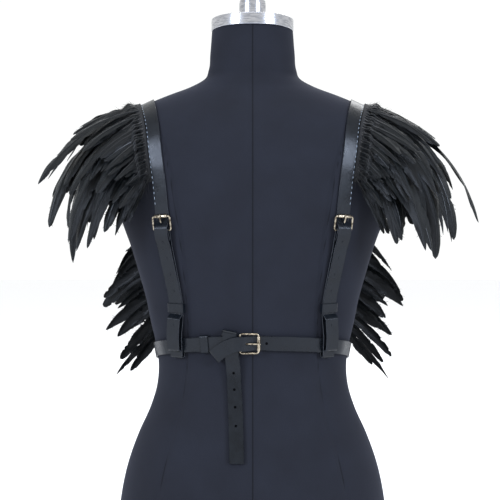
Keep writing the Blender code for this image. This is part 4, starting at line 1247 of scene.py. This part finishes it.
        barb = length[:, None, None] * u[..., None] - np.abs(reach) * 1.1
        marks = np.stack((np.broadcast_to(v / 2 + 0.5, barb.shape), barb), axis=-1)
        work.add(points.reshape(n, -1, 3), grid_faces(m, self.wide), 0, marks.reshape(n, -1, 2))
        self.barbs(work, points, way, wide, flat, chance)

    def barbs(self, work: Patchwork, points: np.ndarray, way: np.ndarray, wide: np.ndarray, flat: np.ndarray,
              chance: np.random.Generator) -> None:
        """Loose barbs along both edges: thin triangles that lean towards the tip."""
        n, m = points.shape[:2]
        each = self.barbs_each
        row = chance.integers(4, m - 1, (n, each))
        sign = np.where(chance.uniform(0, 1, (n, each)) < 0.5, -1.0, 1.0)[..., None]
        feather = np.arange(n)[:, None]
        edge = np.where(sign > 0, points[feather, row, -1], points[feather, row, 0])
        lean = unit(way[feather, row] * chance.uniform(0.5, 1.3, (n, each, 1)) + sign * wide[feather, row]
                    + flat[feather, row] * chance.normal(0, 0.35, (n, each, 1)))
        out = lean * chance.uniform(0.0010, 0.0042, (n, each, 1))
        foot = way[feather, row] * 0.0005
        back = edge - sign * wide[feather, row] * 0.0012
        self.strands(work, np.stack((back, edge, edge + out * 0.6, edge + out), axis=2), foot, 0)

    @staticmethod
    def strands(work: Patchwork, line: np.ndarray, foot: np.ndarray, finish: int) -> None:
        """Flat threads: P(u, v) = c(u) + v (1 - 0.9 u) f, for v of -1 and 1.

        Args:
            work: what they are added to.
            line: (..., points, 3) their middles.
            foot: (..., 3) half their width at the root, as a vector.
            finish: the number of their finish.
        """
        m = line.shape[-2]
        taper = (1 - 0.9 * np.linspace(0, 1, m))[:, None]
        side = foot[..., None, :] * taper
        points = np.stack((line - side, line + side), axis=-2)
        run_u = np.broadcast_to(np.linspace(0, 0.01, m)[:, None], points.shape[:-1])
        marks = np.stack((0 * run_u + 0.5, run_u), axis=-1)
        work.add(points.reshape(-1, m * 2, 3), grid_faces(m, 2), finish, marks.reshape(-1, m * 2, 2))

    def quills(self, work: Patchwork, line: np.ndarray, wide: np.ndarray, flat: np.ndarray) -> None:
        """A tapering quill on each feather's outer side: P = c + r (cos a w + sin a n)."""
        n, m = line.shape[:2]
        u = np.linspace(0, 1, m)
        angle = math.tau * np.arange(5) / 5
        radius = (self.quill_radius * (1 - 0.86 * u))[None, :, None, None]
        rings = (line[:, :, None] + flat[:, :, None] * 0.0003
                 + radius * (np.cos(angle)[:, None] * wide[:, :, None]
                             + np.sin(angle)[:, None] * flat[:, :, None]))
        last = (m - 1) * 5
        work.add(rings.reshape(n, -1, 3), grid_faces(m, 5, False, True), 1,
                 caps=[list(range(5))[::-1], list(range(last, last + 5))])

    def down(self, work: Patchwork, line: np.ndarray, wide: np.ndarray, flat: np.ndarray,
             chance: np.random.Generator) -> None:
        """Fluff over each feather's first third: threads that curl off the quill, fewer on upper layers."""
        n, m = line.shape[:2]
        each = 26 - 5 * self.layer
        row = chance.integers(0, max(2, int(m * 0.34)), (n, each))
        feather = np.arange(n)[:, None]
        way = unit(np.gradient(line, axis=1))[feather, row]
        sign = np.where(chance.uniform(0, 1, (n, each, 1)) < 0.5, -1.0, 1.0)
        out = unit(sign * wide[feather, row] * chance.uniform(0.3, 1.0, (n, each, 1))
                   + way * chance.uniform(0.2, 1.1, (n, each, 1))
                   + flat[feather, row] * chance.uniform(-0.05, 0.55, (n, each, 1)))
        curl = unit(way + chance.normal(0, 0.5, (n, each, 3)))
        size = chance.uniform(0.006, 0.016, (n, each, 1, 1)) * (0.3 + 0.7 * self.length_share)
        u = np.linspace(0, 1, 5)[:, None]
        start = line[feather, row][:, :, None]
        threads = start + size * (out[:, :, None] * u + curl[:, :, None] * 0.45 * u ** 2)
        foot = unit(np.cross(out, flat[feather, row])) * self.down_half_width
        self.strands(work, threads, foot, 2)

    def tape(self, work: Patchwork) -> None:
        """The woven tape that holds the roots, beside the strap's edge."""
        s = np.linspace(self.start, self.end, max(12, int((self.end - self.start) / 0.004)))
        off = 0.0005 + self.tape_wall / 2 + self.layer * (self.tape_wall + 0.0003)
        centre, across = self.course.lift(s, np.full(len(s), off))
        outward = across * np.sign(across[:, :1])
        middle = centre + outward * (self.strap_width / 2 + 0.0003 + self.tape_width / 2)
        Strip(self.tape_width, self.tape_wall, 0.0003, 0.004, math.radians(8)).lay(
            work, middle, across, finishes=(3, 3))


@dataclass
class FeatherWings:
    """One side's tapes: three over the shoulder, two down the front strap."""

    side: Side
    course: Course
    # columns: share of the tape, heading to the back, pitch at the root, pitch at the tip, length
    wing_fan: np.ndarray = field(default_factory=lambda: np.array((
        (0.00, 20.0, 54.0, 66.0, 0.070), (0.12, 22.0, 48.0, 76.0, 0.110), (0.26, 18.0, 38.0, 84.0, 0.165),
        (0.40, 12.0, 31.0, 88.0, 0.200), (0.55, 4.0, 27.0, 88.0, 0.205), (0.70, -8.0, 27.0, 86.0, 0.190),
        (0.85, -18.0, 30.0, 78.0, 0.145), (1.00, -26.0, 38.0, 66.0, 0.095))))
    front_fan: np.ndarray = field(default_factory=lambda: np.array((
        (0.00, -14.0, 34.0, 62.0, 0.100), (0.30, -10.0, 24.0, 50.0, 0.108), (0.60, -6.0, 20.0, 44.0, 0.106),
        (0.80, -4.0, 28.0, 52.0, 0.104), (1.00, -4.0, 44.0, 60.0, 0.104))))
    # columns: layer, share of length, lift of the root pitch, vane width, feathers
    wing_rows: tuple = ((0, 1.00, -3.0, 0.0200, 34), (1, 0.74, 4.0, 0.0180, 36), (2, 0.50, 10.0, 0.0150, 48))
    front_rows: tuple = ((0, 1.00, 0.0, 0.0185, 20), (1, 0.76, 12.0, 0.0150, 22))
    tape_inset: float = 0.005

    def build(self, skins: Wardrobe) -> None:
        """Makes the five tapes."""
        behind, before = self.course.places()
        seed = 100 if self.side.mirrored else 200
        start, end = behind(0.478), before(0.515)
        for number, row in enumerate(self.wing_rows):
            inset = self.tape_inset * number
            Plumage(f"wing_feathers_{number + 1}_{self.side.value}", self.side, self.course, start + inset,
                    end - inset, self.wing_fan, *row, 0.7, seed + number).build(skins)
        for number, row in enumerate(self.front_rows):
            Plumage(f"front_feathers_{number + 1}_{self.side.value}", self.side, self.course, before(0.442),
                    before(0.300), self.front_fan, *row, 0.0, seed + 10 + number).build(skins)


# ---- The dress form ----

@dataclass
class DressForm:
    """The jersey-covered form with its chromed neck cap and knob."""

    rings: int = 230
    sides: int = 260
    # columns: height, distance of the side-back seam from the middle
    side_back_seam: np.ndarray = field(default_factory=lambda: np.array((
        (0.000, 0.122), (0.110, 0.110), (0.136, 0.104), (0.170, 0.097), (0.200, 0.087), (0.258, 0.078),
        (0.300, 0.0765), (0.360, 0.080), (0.430, 0.088), (0.500, 0.100), (0.560, 0.118), (0.668, 0.150))))
    gap: float = 0.0003
    cap_radius: float = 0.0510
    cap_band: float = 0.0145
    cap_crown: float = 0.006
    knob_radius: float = 0.0165
    knob_height: float = 0.026

    def build(self, skins: Wardrobe) -> str:
        """Makes the body, the cap and the knob, and returns the body's name."""
        top = float(FORM.levels[-1, 0])
        z = np.interp(np.linspace(0, 1, self.rings), (0.0, 0.55, 0.72, 0.93, 1.0),
                      (0.0, 0.42, 0.545, 0.615, top))
        angle = math.tau * np.arange(self.sides) / self.sides
        half, back, front, square = smooth(z, FORM.levels[:, 0], FORM.levels[:, 1:]).T[..., None]
        c, s = np.cos(angle)[None], np.sin(angle)[None]
        # x = a |cos|^(2/n), y = b |sin|^(2/n), with the bust added to the front until it settles
        x = half * np.sign(c) * np.abs(c) ** (2 / square)
        plain = np.where(s < 0, back, front) * np.sign(s) * np.abs(s) ** (2 / square)
        y = plain.copy()
        for _ in range(8):
            y = np.where(s > 0, plain + FORM.bust(x, y, z[:, None]), y)
        points = np.stack((x, y, np.broadcast_to(z[:, None], x.shape)), axis=-1)
        seam = smooth(z, self.side_back_seam[:, 0], self.side_back_seam[:, 1])[:, None]
        slope = np.maximum(np.abs(FORM.normal(points)[..., 1]), 0.15)
        princess = np.abs(np.abs(x) - seam) / slope
        middle = np.where(y < 0, np.abs(x), 1.0)
        flank = np.where(np.abs(x) > 0.5 * half, np.abs(y), 1.0)
        distance = np.minimum(np.minimum(princess, middle), flank)
        marks = np.stack((distance, points[..., 2]), axis=-1)
        last = (self.rings - 1) * self.sides
        work = Patchwork()
        work.add(points.reshape(-1, 3), grid_faces(self.rings, self.sides, False, True), 0,
                 marks.reshape(-1, 2),
                 [list(range(self.sides))[::-1], list(range(last, last + self.sides))])
        body = settle(oriented(work.sew("form_jersey", [skins.jersey])), "jersey", "form_body")
        self.cap(skins, top + self.gap)
        return body.name

    def cap(self, skins: Wardrobe, foot: float) -> None:
        """Makes the cap and the knob from their profiles."""
        r, band, crown = self.cap_radius, self.cap_band, self.cap_crown
        edge = np.radians(np.linspace(-90, 0, 7))
        bead = np.stack((r - 0.0012 + 0.0012 * np.cos(edge), foot + 0.0012 + 0.0012 * np.sin(edge)), axis=1)
        lip = np.stack((bead[::-1, 0], foot + band - (bead[::-1, 1] - foot)), axis=1)
        u = np.linspace(0.03, 1, 30)[:, None]
        # the crown's profile falls from its middle as 1 - u^2.4
        dome = np.concatenate((r - 0.002 - u * (r - 0.002 - self.knob_radius + 0.003),
                               foot + band + (crown - 0.0008) * (1 - (1 - u) ** 2.4)), axis=1)
        self.turned("neck_cap", np.concatenate((bead, lip, dome)), skins.chrome, 128)
        seat = foot + band + crown - 0.0008 + self.gap
        k, h = self.knob_radius, self.knob_height
        known = np.arange(9.0)
        table = np.array(((0.84, 0.0), (0.97, 0.03), (1.0, 0.10), (1.0, 0.30), (1.0, 0.52), (0.95, 0.70),
                          (0.78, 0.86), (0.45, 0.965), (0.10, 1.0))) * np.array((k, h)) + np.array((0.0, seat))
        self.turned("neck_knob", smooth(np.linspace(0, 8, 60), known, table), skins.chrome, 96)

    @staticmethod
    def turned(node: str, profile: np.ndarray, metal: bpy.types.Material, sides: int) -> None:
        """A turned piece, closed at both ends: P = (r cos a, r sin a, z) for each profile point (r, z)."""
        angle = math.tau * np.arange(sides) / sides
        r, z = profile[:, :1], profile[:, 1:]
        points = np.stack((r * np.cos(angle), r * np.sin(angle), z + 0 * angle), axis=-1)
        last = (len(profile) - 1) * sides
        work = Patchwork()
        work.add(points.reshape(-1, 3), grid_faces(len(profile), sides, False, True), 0,
                 caps=[list(range(sides))[::-1], list(range(last, last + sides))])
        settle(oriented(work.sew(node + "_fine", [metal])), "chrome", node)


# ---- The harness's lines on the form ----

@dataclass(frozen=True)
class Lines:
    """The middles of the straps on the form."""

    # columns: height, sideways
    back: np.ndarray = field(default_factory=lambda: np.array((
        (0.240, 0.0850), (0.285, 0.0868), (0.300, 0.0875), (0.335, 0.0885), (0.370, 0.0945), (0.408, 0.1015),
        (0.437, 0.1050), (0.474, 0.1087), (0.511, 0.1135), (0.545, 0.1185), (0.580, 0.1290))))
    front: np.ndarray = field(default_factory=lambda: np.array((
        (0.220, 0.0880), (0.260, 0.0900), (0.300, 0.0920), (0.380, 0.0990), (0.440, 0.1060), (0.500, 0.1150),
        (0.540, 0.1225), (0.580, 0.1290))))
    low: float = 0.244
    turn: float = 0.500
    belt_middle: float = 0.2725
    belt_dip: float = 0.194

    def shoulder(self) -> Course:
        """The right strap's line: rays to the back, a half circle over the shoulder, rays to the front."""
        rise = np.arange(self.low, self.turn, 0.001)
        back = FORM.on_back(smooth(rise, self.back[:, 0], self.back[:, 1]), rise)
        angle = np.linspace(0.0, math.pi, 240)
        guess = self.turn + 0.080 * np.sin(angle)
        behind = smooth(guess, self.back[:, 0], self.back[:, 1])
        before = smooth(guess, self.front[:, 0], self.front[:, 1])
        x = np.where(angle < math.pi / 2, behind, before)
        origin = np.stack((x, 0 * angle, 0 * angle + self.turn), axis=1)
        over = FORM.seat(origin, np.stack((0 * angle, -np.cos(angle), np.sin(angle)), axis=1))
        fall = rise[::-1]
        origin = np.stack((smooth(fall, self.front[:, 0], self.front[:, 1]), 0 * fall, fall), axis=1)
        front = FORM.seat(origin, np.tile((0.0, 1.0, 0.0), (len(fall), 1)))
        return Course(np.concatenate((back, over, front)))

    def belt(self) -> Course:
        """The belt's line: rays from the form's middle, in the plane z = middle - dip y."""
        angle = np.linspace(-math.pi / 2, 1.5 * math.pi, 721)
        direction = np.stack((np.cos(angle), np.sin(angle), 0 * angle), axis=1)
        height = np.full(len(angle), self.belt_middle)
        for _ in range(6):
            points = FORM.seat(np.stack((0 * angle, 0 * angle, height), axis=1), direction)
            height = self.belt_middle - self.belt_dip * points[:, 1]
        return Course(points, closed=True)


# ---- The studio ----

@dataclass(frozen=True)
class Studio:
    """A white floor, soft lights and the camera at the photograph's place."""

    camera_at: tuple[float, float, float] = (-0.0031, -1.40, 0.397)
    lens: float = 81.07
    sensor: float = 36.0
    floor_radius: float = 14.0
    room_light: float = 1.05
    # columns: place, aim, size, power in watts, colour
    lights: tuple = (
        ((-2.1, -1.9, 1.25), (0.0, 0.0, 0.48), (0.9, 1.2), 84.0, "#d8e6ff"),
        ((2.1, -1.9, 1.25), (0.0, 0.0, 0.48), (0.9, 1.2), 84.0, "#d8e6ff"),
        ((0.0, -1.2, 2.9), (0.0, 0.0, 0.40), (1.8, 1.2), 30.0, "#f2f6ff"),
        ((0.6, 2.4, 2.6), (0.0, 0.0, 0.30), (2.2, 1.6), 40.0, "#ffffff"))

    def build(self) -> None:
        """Makes the floor, the lights, the sky and the camera."""
        paper = Board("white_paper", Roughness=0.9, Base_Color=linear("#f7f7f8"))
        sides = 96
        angle = math.tau * np.arange(sides) / sides
        r = np.array((0.0005, 0.6, 1.5, 4.0, self.floor_radius))[:, None]
        points = np.stack((r * np.cos(angle), r * np.sin(angle), 0 * r * angle - 0.0004), axis=-1)
        work = Patchwork()
        work.add(points.reshape(-1, 3), grid_faces(len(r), sides, False, True), 0,
                 caps=[list(range(sides))[::-1]])
        work.sew("studio_floor", [paper.material])
        for number, (place, aim, size, power, colour) in enumerate(self.lights):
            lamp = bpy.data.lights.new(f"softbox_{number}", "AREA")
            lamp.shape, lamp.size, lamp.size_y = "RECTANGLE", *size
            lamp.energy, lamp.color = power, linear(colour)[:3]
            holder = bpy.data.objects.new(lamp.name, lamp)
            holder.location = place
            way = np.array(aim) - np.array(place)
            flat = math.hypot(way[0], way[1])
            holder.rotation_euler = (math.atan2(flat, -way[2]), 0.0, math.atan2(-way[0], way[1]))
            bpy.context.scene.collection.objects.link(holder)
        world = bpy.data.worlds.new("white_room")
        world.use_nodes = True
        sky = world.node_tree.nodes["Background"]
        sky.inputs["Color"].default_value = linear("#feffff")
        sky.inputs["Strength"].default_value = self.room_light
        bpy.context.scene.world = world
        bpy.context.scene.view_settings.view_transform = "Standard"
        lens = bpy.data.cameras.new("photo_camera")
        lens.lens, lens.sensor_width = self.lens, self.sensor
        lens.clip_start, lens.clip_end = 0.05, 60.0
        camera = bpy.data.objects.new("photo_camera", lens)
        camera.location, camera.rotation_euler = self.camera_at, (math.pi / 2, 0.0, 0.0)
        bpy.context.scene.collection.objects.link(camera)
        bpy.context.scene.camera = camera


def main() -> None:
    """Builds the form, the harness and the feathers in order, then the studio."""
    logging.basicConfig(level=logging.INFO, format="%(name)s %(message)s")
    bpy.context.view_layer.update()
    skins = Wardrobe()
    form = DressForm().build(skins)
    lines = Lines()
    shoulder, belt = lines.shoulder(), lines.belt()
    for side in Side:
        ShoulderStraps(side, shoulder).build(skins, form)
        FeatherWings(side, shoulder).build(skins)
    WaistBelt(belt).build(skins, form)
    Studio().build()


if __name__ == "__main__":
    main()
